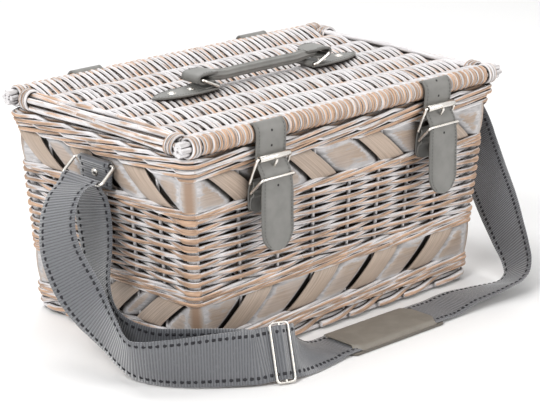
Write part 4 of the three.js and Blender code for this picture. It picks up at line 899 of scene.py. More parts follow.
class BASKET_OT_lid_weave(bpy.types.Operator):
    """Weaves the lid over its sticks, wraps its rolls and lashes its corners"""

    bl_idname = "basket.lid_weave"
    bl_label = "Weave lid"

    def execute(self, context):
        rng = random.Random(sizes().seed + 3)
        self.panel(rng)
        self.ends(rng)
        self.lashings(rng)
        return {"FINISHED"}

    def panel(self, rng):
        radius = sizes().weaver_diameter / MM / 2 * 0.9
        stick = 3.4
        sticks = np.arange(-2, 3) * LID_STICK_PITCH
        pitch = sizes().lid_pitch / MM
        count = int(2 * (WRAPPED_HALF - 2) / pitch)
        wrap = ROLL_STICK + radius
        bend = 14
        weave = Strands()
        for i in range(count + 1):
            x = -count * pitch / 2 + i * pitch + rng.uniform(-0.35, 0.35)
            sign = 1.0 if i % 2 else -1.0
            knots_y = np.array([-ROLL_Y, *sticks, ROLL_Y])
            knots_v = np.array([sign * (-1) ** k for k in range(7)])
            knots_z = knots_v * np.array([wrap, *[stick + radius] * 5, wrap])
            y, z = [], []
            for k in range(6):
                t = np.linspace(0, 1, 10, endpoint=False)
                blend = 0.5 - 0.5 * np.cos(math.pi * t)
                y.append(knots_y[k] + (knots_y[k + 1] - knots_y[k]) * t)
                z.append(knots_z[k] + (knots_z[k + 1] - knots_z[k]) * blend)
            y, z = np.concatenate([*y, [ROLL_Y]]), np.concatenate([*z, [knots_z[-1]]])
            turn = np.radians(np.linspace(250, 12, bend))
            front = np.stack([-ROLL_Y - wrap * np.sin(turn), knots_v[0] * wrap * np.cos(turn)], axis=-1)
            back = np.stack([ROLL_Y + wrap * np.sin(turn), knots_v[-1] * wrap * np.cos(turn)], axis=-1)[::-1]
            line = np.vstack([front, np.stack([y, z], axis=-1), back])
            skew = rng.uniform(-1.4, 1.4)
            path = np.column_stack([x + skew * np.sin(line[:, 0] / 40), line[:, 0], ROLL_Z + line[:, 1]])
            inward = np.clip(path[:, 1], -ROLL_Y, ROLL_Y)
            centre = np.column_stack([path[:, 0], inward, np.full(len(path), ROLL_Z)])
            up = np.tile([0.0, 0.0, 1.0], (len(path), 1))
            far = np.abs(path[:, 1]) > ROLL_Y - 2
            up[far] = unit(path[far] - centre[far])
            edges = slice(0, bend), slice(len(path) - bend, len(path))
            for ends in edges:
                hub = np.array([0, np.sign(path[ends][0, 1]) * ROLL_Y, ROLL_Z])
                ray = path[ends] - hub
                ray[:, 0] = 0
                up[ends] = unit(ray)
            # Partly painted highlight: the crests keep more whitewash and read whiter as if lit from above,
            # and the slopes are rubbed tan.
            wear_and_painted_light = 0.84 - 0.34 * np.clip((path[:, 2] - ROLL_Z) / (stick + radius), -1, 1)
            thick = np.full(len(path), radius * rng.uniform(0.86, 1.08))
            for ends, knot in zip(edges, (knots_v[0], knots_v[-1])):
                thick[ends] *= 1.12 if knot > 0 else 0.7
                wear_and_painted_light[ends] = 1.0
            weave.rod(path, thick, up, rng.random(), wear_and_painted_light, sides=6, inside=1.0)
        for y in sticks:
            x = np.linspace(-WRAPPED_HALF, WRAPPED_HALF, 30)
            path = np.column_stack([x, np.full(30, y), np.full(30, ROLL_Z)])
            weave.rod(path, stick, (0, 0, 1), 0.9, 0.3, sides=9)
        for side in (-1, 1):
            x = np.linspace(-WRAPPED_HALF, WRAPPED_HALF, 6)
            path = np.column_stack([x, np.full(6, side * ROLL_Y), np.full(6, ROLL_Z)])
            weave.rod(path, ROLL_STICK, (0, 0, 1), 0.8, 0.2, sides=12)
        made = weave.build("lid_weave", shared("washed_willow", willow_material), "lid", "willow")
        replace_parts(made, "lid_panel")

        for row, side in ROWS:
            ends = Strands()
            for end in (-1, 1):
                for k in range(7):
                    angle = k * math.pi / 3
                    r = 4.9 if k < 6 else 0.0
                    start, stop = WRAPPED_HALF - 12, STICK_HALF - rng.uniform(0, 3.5)
                    x = end * np.linspace(start, stop, 8)
                    y = side * ROLL_Y + r * math.cos(angle)
                    z = ROLL_Z + r * math.sin(angle)
                    out = (0, math.cos(angle), math.sin(angle)) if k < 6 else (0, 0, 1)
                    path = np.column_stack([x, np.full(8, y), np.full(8, z)])
                    ends.rod(path, 2.55, out, 0.5 + 0.5 * rng.random(), -0.3, sides=9)
            pale = shared("pale_willow", willow_material, 0.75)
            made = ends.build(f"lid_{row}_stick_ends", pale, "lid", "willow")
            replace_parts(made, f"lid_{row}_roll")

    def ends(self, rng):
        for word, side in SIDES:
            rods = Strands()
            y = np.linspace(-112, 112, 60)
            places = (
                (199.0, 225.2), (204.5, 223.4), (208.6, 219.4),
                (208.6, 213.8), (203.0, 212.6), (200.5, 218.5),
            )
            for k, (x, z) in enumerate(places):
                sway = 1.5 * np.sin(y / 34 + k * 2.1)
                lift = 1.2 * np.sin(y / 34 + k * 2.1 + 1.57)
                path = np.column_stack([side * (x + sway), y, z + lift])
                rods.rod(path, 2.65, (side * 0.7, 0, 0.7), patchy(rng, 60, 3), 0.75, sides=9)
            fresh = shared("fresh_willow", willow_material, 0.62)
            made = rods.build(f"lid_{word}_rods", fresh, "lid", "willow")
            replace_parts(made, f"lid_{word}_end_rods")

    def lashings(self, rng):
        for row, side in ROWS:
            for word, end in SIDES:
                cane = Strands()
                turn = np.linspace(0, 3 * 2 * math.pi, 110)
                x = end * (WRAPPED_HALF + 1.6 + 11.0 * turn / turn[-1])
                out = np.column_stack([np.zeros_like(turn), np.cos(turn), np.sin(turn)])
                core = np.column_stack([x, np.full_like(x, side * ROLL_Y), np.full_like(x, ROLL_Z)])
                path = core + out * 8.9
                cane.rod(path, 1.6, out, 0.3 + 0.4 * rng.random(), 0.7, sides=8)
                for k in range(3):
                    out = np.column_stack([np.cos(turn[:38]), np.zeros(38), np.sin(turn[:38])])
                    middle = (end * 204.2, side * (ROLL_Y - 15.5 - 4.0 * k), 218.8)
                    loop = np.array(middle) + out * np.array([9.6, 0, 9.4])
                    loop[:, 1] += side * 1.4 * np.sin(turn[:38])
                    cane.rod(loop, 1.5, out, 0.3 + 0.4 * rng.random(), 0.7, sides=8)
                name = f"lid_lashing_{row}_{word}"
                split = shared("split_cane", willow_material, 0.45, 0.8)
                made = cane.build(f"{name}_cane", split, "lid", "cane")
                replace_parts(made, name)


def arc(y, z, radius, start, stop, count):
    angle = np.radians(np.linspace(start, stop, count))
    return np.column_stack([y + radius * np.cos(angle), z + radius * np.sin(angle)])


def in_side_view(x, line):
    """A line drawn in Y and Z, carried to an X."""
    return np.column_stack([np.full(len(line), x), line])


def side_normals(path):
    """The face direction of a strap bent only in the Y and Z plane."""
    along = tangents(path)
    return np.column_stack([np.zeros(len(path)), along[:, 2], -along[:, 1]])


def stitches(strands, path, out, pitch, length, radius, lift, flat=1.0):
    """Short threads in a row along a path that lies in a surface."""
    s = lengths(path)
    for start in np.arange(pitch / 2, s[-1] - length, pitch):
        at = np.linspace(start, start + length, 4)
        points = np.stack([np.interp(at, s, path[:, k]) for k in range(3)], axis=1)
        up = unit(np.stack([np.interp(at, s, out[:, k]) for k in range(3)], axis=1))
        sink = np.array([-0.6, 0.6, 0.6, -0.6])[:, None] * radius * flat
        strands.rod(points + up * (lift + sink), radius, up, sides=6, flat=flat)


def wire_loop(strands, origin, across, along, half_width, height, wire, corner):
    """A rectangular wire loop: its first bar passes through the origin."""
    origin, across, along = (np.asarray(v, float) for v in (origin, across, along))
    across, along = unit(across), unit(along)
    flat = []
    for quarter, (side, top) in enumerate(((1, 0), (1, 1), (-1, 1), (-1, 0))):
        angle = np.radians(np.linspace(quarter * 90 - 90, quarter * 90, 7))
        a = side * (half_width - corner) + corner * np.cos(angle)
        b = (height - corner if top else corner) + corner * np.sin(angle)
        flat.append(np.column_stack([a, b]))
    flat = np.vstack(flat)
    path = origin + flat[:, :1] * across + flat[:, 1:] * along
    strands.rod(path, wire / 2, np.cross(across, along), sides=12, closed=True)


def dome(strands, origin, axis, radius, rise):
    angle = np.linspace(0, math.pi / 2, 7)
    rim = [(1.0, -0.4), (1.0, 0.25), (0.9, 0.5), (0.78, 0.42)]
    profile = [(radius * a, b) for a, b in rim]
    profile += [(0.72 * radius * math.cos(a), 0.42 + (rise - 0.42) * math.sin(a)) for a in angle]
    profile[-1] = (0.05, rise)
    strands.lathe(profile, origin, axis)


def buckle_lines(word):
    """The heights and depths that the pieces of one buckle share."""
    roller = ROLL_Z - 21.8 + BUCKLE_RISE[word]
    bar = roller - BUCKLE_HEIGHT
    bar_y = -(BASE_DEPTH / 2 + LEAN_Y * (bar + 8.4) + 1.0 + 0.3) - 5.2
    return roller, bar, bar_y


class BASKET_OT_leather(bpy.types.Operator):
    """Cuts, sews and hangs the leather straps, chapes, handle tabs and grip"""

    bl_idname = "basket.leather"
    bl_label = "Sew leather"

    def execute(self, context):
        self.leather = shared("strap_leather", leather_material, colours().leather)
        self.thread = shared("grey_thread", thread_material, (0.12, 0.12, 0.11))
        # Painted shade: near-black stuff for the discs that stand for punched holes.
        self.hole = shared("punched_hole", thread_material, (0.012, 0.011, 0.01))
        for word, side in SIDES:
            self.closing_strap(word, side * STRAP_X)
            self.hinge_strap(word, side * STRAP_X)
            self.chape(word, side * STRAP_X)
            self.handle_tab(word, side)
        self.grip()
        return {"FINISHED"}

    def closing_strap(self, word, x):
        roller, bar, _ = buckle_lines(word)
        keeper = bar - KEEPER_DROP + KEEPER_HEIGHT
        held = KEEPER_Y + 1.3 + 0.3 + LEATHER / 2
        tip = roller - 89
        angle = np.linspace(100, 180, 16)
        lift = STRAP_END + (STRAP_ROUND - STRAP_END) * smooth_step(100, 128, angle)
        over = np.column_stack([
            -ROLL_Y + lift * np.cos(np.radians(angle)), ROLL_Z + lift * np.sin(np.radians(angle)),
        ])
        hang = hermite(np.array([
            (-ROLL_Y - STRAP_ROUND, ROLL_Z - 4, 0), (-135.6, roller + 4, 0), (-135.5, roller, 0),
            (-136.4, roller - 4, 0), (held + 1, keeper + 3, 0), (held, keeper, 0), (held - 1, keeper - 8, 0),
            (held - 1.6, (keeper + tip) / 2, 0), (held - 3.5, tip, 0),
        ], float), 1.6)[:, :2]
        line = np.vstack([over, hang])
        path = in_side_view(x, line)
        out = side_normals(path)
        s = lengths(path)
        left = s[-1] - s
        half = STRAP_WIDTH / 2 + 1.3 * smooth_step(0, 18, keeper - path[:, 2])
        bend = 20.5
        width = half * np.sqrt(np.clip(1 - ((bend - np.minimum(left, bend)) / bend) ** 2, 0.0004, 1))
        strap = Strands()
        strap.strip(path, (1, 0, 0), width, LEATHER / 2, out)
        made = strap.build(f"closing_strap_{word}", self.leather, f"closing_strap_{word}", "grey_leather")
        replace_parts(made, f"front_strap_{word}")

        sewing = Strands()
        inset = np.clip(width - 3.0, 0.5, None)
        keep = (s > 8) & (left > 3.0)
        for sign in (-1, 1):
            row = path[keep] + sign * inset[keep][:, None] * np.array([1.0, 0, 0])
            stitches(sewing, row, out[keep], *STRAP_STITCH)
        sewing.build(f"closing_strap_stitching_{word}", self.thread, f"closing_strap_{word}", "grey_leather")

        # Painted shade: each punched hole is a near-black disc laid on the strap instead of an opening.
        hole_shade_discs = Strands()
        profile = [(1.25, -0.3), (1.25, 0.06), (0.05, 0.06)]
        for drop in (-24.0, -9.0, 27.0):
            at = np.argmin(np.abs(path[:, 2] - (roller - drop)) + 1000 * (s < 8))
            hole_shade_discs.lathe(profile, path[at] + out[at] * LEATHER / 2, out[at], 12)
        hole_shade_discs.build(f"closing_strap_holes_{word}", self.hole, f"closing_strap_{word}", "grey_leather")

    def hinge_strap(self, word, x):
        start = ROLL_Y + STRAP_ROUND
        wall_y = BASE_DEPTH / 2 + LEAN_Y * 178 + 2.6
        angle = np.linspace(88, 0, 16)
        lift = STRAP_END + (STRAP_ROUND - STRAP_END) * smooth_step(0, 30, 88 - angle)
        over = np.column_stack([
            ROLL_Y + lift * np.cos(np.radians(angle)), ROLL_Z + lift * np.sin(np.radians(angle)),
        ])
        tail = hermite(np.array([
            (start, ROLL_Z - 4, 0), (start - 0.2, 203, 0), (132.2, 189.4, 0), (wall_y, 178, 0),
            (wall_y - 0.8, 150, 0),
        ], float), 2.0)[:, :2]
        path = in_side_view(x, np.vstack([over, tail]))
        strap = Strands()
        out = -side_normals(path)
        strap.strip(path, (1, 0, 0), STRAP_WIDTH / 2, LEATHER / 2, out)
        made = strap.build(f"hinge_strap_leather_{word}", self.leather, "basket", "grey_leather")
        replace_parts(made, f"hinge_strap_{word}")
        sewing = Strands()
        for sign in (-1, 1):
            stitches(sewing, path[5:] + sign * np.array([16.0, 0, 0]), out[5:], *STRAP_STITCH)
        sewing.build(f"hinge_strap_stitching_{word}", self.thread, "basket", "grey_leather")

    def chape(self, word, x):
        roller, bar, bar_y = buckle_lines(word)
        back = bar_y + 4.1
        chape = Strands()
        fold = arc(bar_y, bar, 2.8, 0, 190, 14)
        keeper = arc(bar_y, bar - KEEPER_DROP, 2.7, 100, 260, 10)
        line = np.vstack([
            [(back, roller - 54), (back, bar - 8), (back - 0.9, bar - 3)], fold,
            [(bar_y - 1.4, bar - 5)], keeper, [(bar_y + 1.2, bar - 16), (bar_y + 1.5, roller - 53.5)],
        ])
        smooth = hermite(np.column_stack([line, np.zeros(len(line))]), 1.2)[:, :2]
        path = in_side_view(x, smooth)
        s = lengths(path)
        left = 7 - np.minimum(np.minimum(s, s[-1] - s), 7)
        edge = 12 + np.sqrt(49 - left**2)
        for sign in (-1, 1):
            offset = sign * (edge + 3)[:, None] / 2 * np.array([1.0, 0, 0])
            chape.strip(path + offset, (1, 0, 0), (edge - 3) / 2, 0.85, side_normals(path))
        for low in (s < 18, s > s[-1] - 18):
            chape.strip(path[low], (1, 0, 0), edge[low] - 0.2, 0.8, side_normals(path)[low])
        made = chape.build(f"chape_{word}", self.leather, "basket", "grey_leather")
        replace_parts(made, f"buckle_chape_{word}")

    def handle_tab(self, word, side):
        bottom = HANDLE_BED
        outline = (
            (HANDLE_PIVOT_X, 12.4), (74, 13.2), (84, 13.9), (94, 14), (104, 13.6),
            (114, 12.2), (124, 9.4), (132, 6), (138, 2.2), (140, 0),
        )
        upper = hermite(np.array([(x, half, 0) for x, half in outline], float), 1.5)[:, :2]
        loop = np.vstack([upper, upper[-2::-1] * np.array([1, -1])])
        middle = np.array([100.0, 0.0])
        reach = np.linalg.norm(loop - middle, axis=1, keepdims=True)
        rings = []
        for inset, z in ((0.6, 0), (0, 0.5), (0, 1.8), (0.35, 2.3), (1.0, 2.45)):
            flat = middle + (loop - middle) * (1 - inset / np.maximum(reach, 1))
            rings.append(np.column_stack([side * flat[:, 0], flat[:, 1], np.full(len(flat), bottom + z)]))
        tab = Strands()
        wear_and_painted_light = np.array([0, 0.1, 0.4, 1, 1])[:, None]
        tab.loft(np.array(rings), np.zeros(3), wear_and_painted_light)
        fold = arc(HANDLE_PIVOT_X, bottom + 3.5, 2.75, 275, 80, 16)
        tail = np.array([(69, bottom + 5.0), (74, bottom + 3.9), (82, bottom + 3.3)])
        line = np.vstack([[(72, bottom + 0.7)], fold, tail])
        path = np.column_stack([side * line[:, 0], np.zeros(len(line)), line[:, 1]])
        along = tangents(path)
        out = np.column_stack([-along[:, 2], np.zeros(len(path)), along[:, 0]]) * side
        tab.strip(path, (0, 1, 0), 12.3, 0.75, out)
        made = tab.build(f"handle_tab_leather_{word}", self.leather, "lid", "grey_leather")
        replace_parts(made, f"handle_tab_{word}")
        sewing = Strands()
        inner = middle + (loop - middle) * (1 - 2.6 / np.maximum(reach, 8))
        row = np.column_stack([side * inner[:, 0], inner[:, 1], np.full(len(inner), bottom + 2.45)])
        stitches(sewing, row, np.tile([0.0, 0.0, 1.0], (len(row), 1)), *TAB_STITCH)
        sewing.build(f"handle_tab_stitching_{word}", self.thread, "lid", "grey_leather")

    def grip(self):
        """A ridged bar, and at each end a flap folded round the ring's wire and sewn down below."""
        bar_z, eye_x, eye_z = ROLL_Z + 18.6, 86.5, ROLL_Z + 21.1
        grip = Strands()
        table = (
            (0, 5.4, 5.4, bar_z), (30, 5.4, 5.4, bar_z), (52, 5.4, 5.4, bar_z), (60, 6.0, 5.2, bar_z + 1.2),
            (67, 7.4, 4.4, eye_z - 0.4), (72, 8.6, 3.4, eye_z), (74, 8.0, 1.6, eye_z),
        )
        rows = np.array([(-row[0], *row[1:]) for row in table[:0:-1]] + list(table))
        rows = hermite(np.column_stack([rows[:, 0], 0 * rows[:, :2], rows[:, 1:]]), 2.0)[:, [0, 3, 4, 5]]
        angle = np.arange(56) * 2 * math.pi / 56
        ridge = 1 + 0.075 * np.cos(8 * angle + 0.4)
        rings = [
            np.column_stack([np.full(56, x), half * np.cos(angle) * ridge, z + tall * np.sin(angle) * ridge])
            for x, half, tall, z in rows
        ]
        grip.loft(np.array(rings), np.zeros(3), 1.0)
        fold = arc(eye_x, eye_z, 4.0, 90, -90, 14)
        line = np.vstack([
            [(62, eye_z + 2.6), (68, eye_z + 3.8)], fold, [(76, eye_z - 4.0), (70, eye_z - 3.6)],
        ])
        line = hermite(np.column_stack([line, np.zeros(len(line))]), 1.2)[:, :2]
        half = 7 + 5.5 * smooth_step(60, 72, line[:, 0])
        sewing = Strands()
        for side in (-1, 1):
            path = np.column_stack([side * line[:, 0], np.zeros(len(line)), line[:, 1]])
            along = tangents(path)
            out = np.column_stack([-along[:, 2], np.zeros(len(path)), along[:, 0]]) * side
            grip.strip(path, (0, 1, 0), half, 1.25, out)
            shown = (line[:, 1] > eye_z) & (line[:, 0] > 70) & (line[:, 0] < 86)
            for row in (-1, 1):
                edge = path[shown] + np.array([0, row * 10.4, 0])
                stitches(sewing, edge, out[shown], *GRIP_STITCH)
        made = grip.build("grip_leather", self.leather, "handle", "grey_leather")
        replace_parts(made, "handle_grip")
        sewing.build("grip_stitching", self.thread, "handle", "grey_leather")


class BASKET_OT_wire(bpy.types.Operator):
    """Bends the wire loops, turns the rollers and sets the rivets"""

    bl_idname = "basket.wire"
    bl_label = "Bend wire"

    def execute(self, context):
        nickel = shared("plated_nickel", metal_material)
        for word, side in SIDES:
            self.buckle(word, side, nickel)
            self.rings(word, side, nickel)
        slider = Strands()
        along = unit(np.array([0.93, -0.3675, 0]))
        lean = math.radians(23)
        up = np.array([-along[1], along[0], 0]) * math.sin(lean) + np.array([0, 0, math.cos(lean)])
        centre = np.array([-147.5, -187, 27.6])
        long, wire = 18, 2.4
        wire_loop(slider, centre - long / 2 * along, up, along, 27.5, long, wire, 3.5)
        slider.rod(np.array([centre - 27 * up, centre, centre + 27 * up]), wire / 2, along, sides=12)
        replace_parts(slider.build("slider_wire", nickel, "slider", "nickel"), "strap_slider")
        return {"FINISHED"}

    def buckle(self, word, side, nickel):
        x = side * STRAP_X
        roller, bar, bar_y = buckle_lines(word)
        lean = np.array([0, ROLLER_Y - bar_y, BUCKLE_HEIGHT])
        loop = Strands()
        wire_loop(loop, (x, bar_y, bar), (1, 0, 0), lean, BUCKLE_HALF, np.linalg.norm(lean), 3.0, 1.65)
        made = loop.build(f"buckle_wire_{word}", nickel, f"buckle_{word}", "nickel")
        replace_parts(made, f"buckle_frame_{word}")

        tube = Strands()
        profile = [
            (2.5, 0.3), (2.8, 0.0), (3.0, 0.0), (3.25, 0.3), (3.25, 38.1),
            (3.0, 38.4), (2.8, 38.4), (2.5, 38.1), (2.5, 0.3),
        ]
        tube.lathe(profile, (x - 19.2, ROLLER_Y, roller), (1, 0, 0), 24)
        made = tube.build(f"roller_tube_{word}", nickel, f"roller_{word}", "nickel")
        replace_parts(made, f"buckle_roller_{word}")

        prong = Strands()
        ahead = bar_y - ROLLER_Y
        tilt = math.atan2(ahead, BUCKLE_HEIGHT) + math.asin(5.05 / math.hypot(ahead, BUCKLE_HEIGHT))
        direction = np.array([0, -math.sin(tilt), math.cos(tilt)])
        root = np.array([x, bar_y, bar])
        reach = np.array([0.6, 6, 14, 22, 26, 27.2])[:, None]
        prong.rod(root + reach * direction, [1.9, 1.6, 1.5, 1.45, 1.3, 0.6], (0, -1, 0), sides=12)
        prong.lathe([(2.0, -2.2), (3.4, -2.2), (3.4, 2.2), (2.0, 2.2), (2.0, -2.2)], root, (1, 0, 0), 20)
        made = prong.build(f"tongue_prong_{word}", nickel, f"tongue_{word}", "nickel")
        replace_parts(made, f"buckle_tongue_{word}")

        keeper = Strands()
        lean = np.array([0, KEEPER_Y - bar_y, KEEPER_HEIGHT])
        foot = (x, bar_y, bar - KEEPER_DROP)
        wire_loop(keeper, foot, (1, 0, 0), lean, BUCKLE_HALF, np.linalg.norm(lean), 2.6, 3.5)
        made = keeper.build(f"keeper_wire_{word}", nickel, f"keeper_{word}", "nickel")
        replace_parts(made, f"keeper_loop_{word}")

        rivet = Strands()
        dome(rivet, (x, bar_y + 0.2, roller - 46), (0, -1, 0), 4.6, 2.4)
        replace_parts(rivet.build(f"chape_stud_{word}", nickel, "basket", "nickel"), f"chape_rivet_{word}")

    def rings(self, word, side, nickel):
        bottom = HANDLE_BED
        ring = Strands()
        along = np.array([side * 20.5, 0, 9.2])
        pivot = (side * HANDLE_PIVOT_X, 0, bottom + 3.5)
        wire_loop(ring, pivot, (0, 1, 0), along, 14.6, np.linalg.norm(along), 3.0, 3.0)
        made = ring.build(f"handle_ring_wire_{word}", nickel, f"handle_ring_{word}", "nickel")
        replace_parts(made, f"handle_ring_{word}")
        for name, x in (("inner", 90), ("outer", 115)):
            stud = Strands()
            dome(stud, (side * x, 0, bottom + 2.4), (0, 0, 1), 4.4, 1.9)
            made = stud.build(f"handle_stud_{word}_{name}", nickel, "lid", "nickel")
            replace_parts(made, f"handle_rivet_{word}_{name}")
        hook = Strands()
        along = np.array([side * 16.8, 0, -14.5])
        pivot = (side * ANCHOR_X, 0, ANCHOR_Z)
        wire_loop(hook, pivot, (0, 1, 0), along, 28.1, np.linalg.norm(along), 3.2, 3.5)
        made = hook.build(f"side_ring_wire_{word}", nickel, f"side_ring_{word}", "nickel")
        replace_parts(made, f"side_ring_{word}")
        stud = Strands()
        dome(stud, (side * 211.4, 0, 172), (side, 0, 0), 4.8, 2.6)
        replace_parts(stud.build(f"side_stud_{word}", nickel, "basket", "nickel"), f"side_rivet_{word}")


def ribbed(path, across, rib):
    """The ways across and out of webbing along a path, and its half thickness over the ribs."""
    along = tangents(path)
    across = unit(across - along * np.sum(across * along, axis=1, keepdims=True))
    out = np.cross(along, across)
    s = lengths(path)
    half_thick = 0.66 + 0.3 * np.cos(2 * math.pi * s / rib)
    return across, out, half_thick


def dash_rows(path, across, out, inset, dash):
    """Two rows of dashes on each face of webbing."""
    dashes = Strands()
    for row in (-inset, inset):
        for face in (-1, 1):
            stitches(dashes, path[::4] + row * across[::4], face * out[::4], *dash)
    return dashes


class BASKET_OT_shoulder_strap(bpy.types.Operator):
    """Lays the webbing strap along its route, with its dashes, its pad and the two side tabs"""

    bl_idname = "basket.shoulder_strap"
    bl_label = "Lay shoulder strap"

    def execute(self, context):
        webbing = shared("ribbed_webbing", webbing_material)
        black = shared("black_thread", thread_material, (0.008, 0.008, 0.012))
        rib = sizes().rib_pitch / MM
        route = hermite(np.array(WEBBING_ROUTE) / np.array([MM, MM, MM, 1, 1, 1]), rib / 6)
        path = route[:, :3]
        across, out, thick = ribbed(path, route[:, 3:], rib)
        woven = Strands()
        woven.strip(path, across, WEBBING_WIDTH / 2, thick, out)
        strap = woven.build("shoulder_webbing", webbing, "basket", "webbing")
        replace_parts(strap, "shoulder_strap")

        rows = dash_rows(path, across, out, 19.5, STRAP_DASH)
        dashes = rows.build("shoulder_dashes", black, "basket", "webbing")

        pad = self.pad()
        for word, side in SIDES:
            self.side_tab(word, side, webbing, black, rib)
        return {"FINISHED"}

    def pad(self):
        """Two leathers sewn along the long edges: a longer one below, a shorter one arched over it."""
        leather = shared("sleeve_leather", leather_material, colours().pad, 0.6)
        b = np.concatenate([np.linspace(-1, -0.82, 5), np.linspace(-0.7, 0.7, 11), np.linspace(0.82, 1, 5)])
        swell = 1 - smooth_step(0.78, 0.95, np.abs(b))
        sleeve = Strands()
        for x0, x1, low, rise, thick in ((-60, 76, 0.35, 0.0, 1.3), (-49, 67, 1.75, 3.1, 1.3)):
            reach = (x1 - x0) / 2
            rings = []
            for t in np.sin(np.linspace(-math.pi / 2, math.pi / 2, 44)):
                half = 28 - 9 * smooth_step(reach - 9, reach, reach * abs(t)) ** 2
                mouth = 1 + 0.3 * smooth_step(-0.75, -1.0, t)
                y = np.concatenate([b, b[::-1]]) * half + PAD_Y
                bottom = low + rise * swell * mouth
                z = np.concatenate([bottom + thick, bottom[::-1]])
                rings.append(np.column_stack([np.full(len(y), (x0 + x1) / 2 + reach * t), y, z]))
            wear_and_painted_light = np.concatenate([1 - smooth_step(0.96, 1, np.abs(b)), 0 * b])[None]
            sleeve.loft(np.array(rings), np.zeros(3), wear_and_painted_light)
        made = sleeve.build("pad_sleeve", leather, "pad", "pad_leather")
        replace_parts(made, "shoulder_pad")
        sewing = Strands()
        for y in (-25.6, 25.6):
            row = np.column_stack([np.linspace(-40, 58, 50), np.full(50, y + PAD_Y), np.full(50, 3.15)])
            stitches(sewing, row, np.tile([0.0, 0.0, 1.0], (50, 1)), *PAD_STITCH)
        thread = shared("pad_thread", thread_material, (0.3, 0.28, 0.25))
        sewn = sewing.build("pad_stitching", thread, "pad", "pad_leather")
        return [made, sewn]

    def side_tab(self, word, side, webbing, black, rib):
        line = np.vstack([
            [(209.3, 158.5), (209.4, 170), (208.6, 179)], arc(ANCHOR_X, ANCHOR_Z, 2.7, 170, -30, 12),
            [(211.9, 177), (211.0, 172), (210.9, 158.5)],
        ])
        flat = hermite(np.column_stack([line, np.zeros(len(line))]), rib / 4)[:, :2]
        path = np.column_stack([side * flat[:, 0], np.zeros(len(flat)), flat[:, 1]])
        across, out, thick = ribbed(path, np.tile([0.0, side, 0.0], (len(path), 1)), rib)
        tab = Strands()
        tab.strip(path, across, 22, thick, out)
        made = tab.build(f"side_tab_webbing_{word}", webbing, "basket", "webbing")
        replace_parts(made, f"side_tab_{word}")
        dashes = dash_rows(path, across, out, 17.5, SIDE_TAB_DASH)
        dashes.build(f"side_tab_dashes_{word}", black, "basket", "webbing")


# The camera's angles in degrees, its aim, its shift to the right and up, its distance and its lens
CAMERA_AZIMUTH, CAMERA_ELEVATION, CAMERA_ROLL = -44.452, 17.787, 0.59
CAMERA_AIM = (0, 0, 0.12)
CAMERA_SHIFT = (0.01261, -0.02947)
CAMERA_DISTANCE = 2.11045
CAMERA_SENSOR, CAMERA_LENS = 36, 139.45

# Each lamp's name, place, size, power and colour, and what they all point at
LAMPS = (
    ("key", (-2.5, -0.7, 2.1), 1.4, 68, (1, 0.99, 0.98)),
    ("top", (0.2, 1.0, 2.6), 1.8, 49, (1, 1, 1)),
    ("fill", (1.2, -2.6, 1.4), 1.6, 36, (1, 0.97, 0.94)),
)
LAMP_AIM = (0, 0, 0.1)


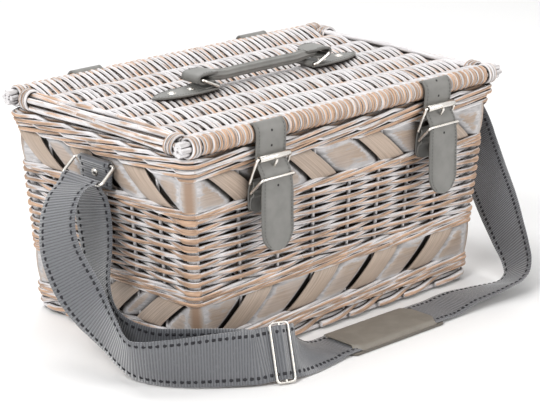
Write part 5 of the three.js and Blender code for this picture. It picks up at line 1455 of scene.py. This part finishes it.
class BASKET_OT_studio(bpy.types.Operator):
    """Sets up the floor, the soft light and the camera at the photograph's angle"""

    bl_idname = "basket.studio"
    bl_label = "Set up studio"

    def execute(self, context):
        scene = context.scene
        scene.view_settings.view_transform = "Standard"
        self.camera(scene)
        self.floor(scene)
        self.light(scene)
        return {"FINISHED"}

    def camera(self, scene):
        azimuth, elevation = math.radians(CAMERA_AZIMUTH), math.radians(CAMERA_ELEVATION)
        roll = math.radians(CAMERA_ROLL)
        away = math.cos(elevation)
        back = Vector((math.sin(azimuth) * away, -math.cos(azimuth) * away, math.sin(elevation)))
        level = (-back).cross(Vector((0, 0, 1))).normalized()
        upright = level.cross(-back)
        right = math.cos(roll) * level + math.sin(roll) * upright
        up = math.cos(roll) * upright - math.sin(roll) * level
        place = Vector(CAMERA_AIM) + CAMERA_SHIFT[0] * right + CAMERA_SHIFT[1] * up + CAMERA_DISTANCE * back
        data = bpy.data.cameras.new("studio_camera")
        data.sensor_width = CAMERA_SENSOR
        data.lens = CAMERA_LENS
        camera = bpy.data.objects.new("studio_camera", data)
        camera.matrix_world = Matrix.Translation(place) @ Matrix((right, up, back)).transposed().to_4x4()
        scene.collection.objects.link(camera)
        scene.camera = camera

    def floor(self, scene):
        mesh = bpy.data.meshes.new("floor")
        corners = [(x, y, -0.0004) for x, y in ((-6, -6), (6, -6), (6, 6), (-6, 6))]
        mesh.from_pydata(corners, [], [(0, 1, 2, 3)])
        floor = bpy.data.objects.new("floor", mesh)
        scene.collection.objects.link(floor)
        material = bpy.data.materials.new("pale_floor")
        material.use_nodes = True
        surface = material.node_tree.nodes["Principled BSDF"].inputs
        surface["Base Color"].default_value = (0.95, 0.95, 0.95, 1)
        surface["Roughness"].default_value = 0.9
        mesh.materials.append(material)

    def light(self, scene):
        world = bpy.data.worlds.new("studio_world")
        scene.world = world
        world.use_nodes = True
        tree = world.node_tree
        background = tree.nodes["Background"]
        background.inputs["Color"].default_value = (1, 1, 1, 1)
        rays = tree.nodes.new("ShaderNodeLightPath").outputs
        shown = tree.nodes.new("ShaderNodeMath")
        shown.operation = "MAXIMUM"
        tree.links.new(rays["Is Camera Ray"], shown.inputs[0])
        tree.links.new(rays["Is Glossy Ray"], shown.inputs[1])
        strength = tree.nodes.new("ShaderNodeMapRange")
        strength.inputs["To Min"].default_value = 0.3
        tree.links.new(shown.outputs[0], strength.inputs["Value"])
        tree.links.new(strength.outputs["Result"], background.inputs["Strength"])
        for name, place, size, power, colour in LAMPS:
            lamp = bpy.data.lights.new(name, "AREA")
            lamp.size = size
            lamp.energy = power
            lamp.color = colour
            obj = bpy.data.objects.new(name, lamp)
            obj.location = place
            obj.rotation_euler = (Vector(LAMP_AIM) - Vector(place)).to_track_quat("-Z", "Y").to_euler()
            scene.collection.objects.link(obj)


class BASKET_PT_panel(bpy.types.Panel):
    """Sizes, colours and steps of the basket"""

    bl_idname = "BASKET_PT_panel"
    bl_label = "Willow picnic basket"
    bl_space_type = "VIEW_3D"
    bl_region_type = "UI"
    bl_category = "Basket"

    def draw(self, context):
        layout = self.layout
        for group in (context.scene.basket_sizes, context.scene.basket_colours):
            for key in group.bl_rna.properties.keys():
                if key not in {"rna_type", "name"}:
                    layout.prop(group, key)
        for operator in OPERATORS:
            layout.operator(operator.bl_idname)


OPERATORS = (
    BASKET_OT_studio,
    BASKET_OT_wire,
    BASKET_OT_shoulder_strap,
    BASKET_OT_wall_weave,
    BASKET_OT_courses,
    BASKET_OT_chip_bands,
    BASKET_OT_lid_weave,
    BASKET_OT_leather,
)
CLASSES = (BasketSizes, BasketColours, *OPERATORS, BASKET_PT_panel)


def register():
    for cls in CLASSES:
        bpy.utils.register_class(cls)
    bpy.types.Scene.basket_sizes = PointerProperty(type=BasketSizes)
    bpy.types.Scene.basket_colours = PointerProperty(type=BasketColours)


def unregister():
    del bpy.types.Scene.basket_sizes
    del bpy.types.Scene.basket_colours
    for cls in reversed(CLASSES):
        bpy.utils.unregister_class(cls)


def main():
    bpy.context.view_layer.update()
    register()
    bpy.ops.basket.studio()
    bpy.ops.basket.wire()
    bpy.ops.basket.shoulder_strap()
    bpy.ops.basket.wall_weave()
    bpy.ops.basket.courses()
    bpy.ops.basket.chip_bands()
    bpy.ops.basket.lid_weave()
    bpy.ops.basket.leather()


if __name__ == "__main__":
    main()
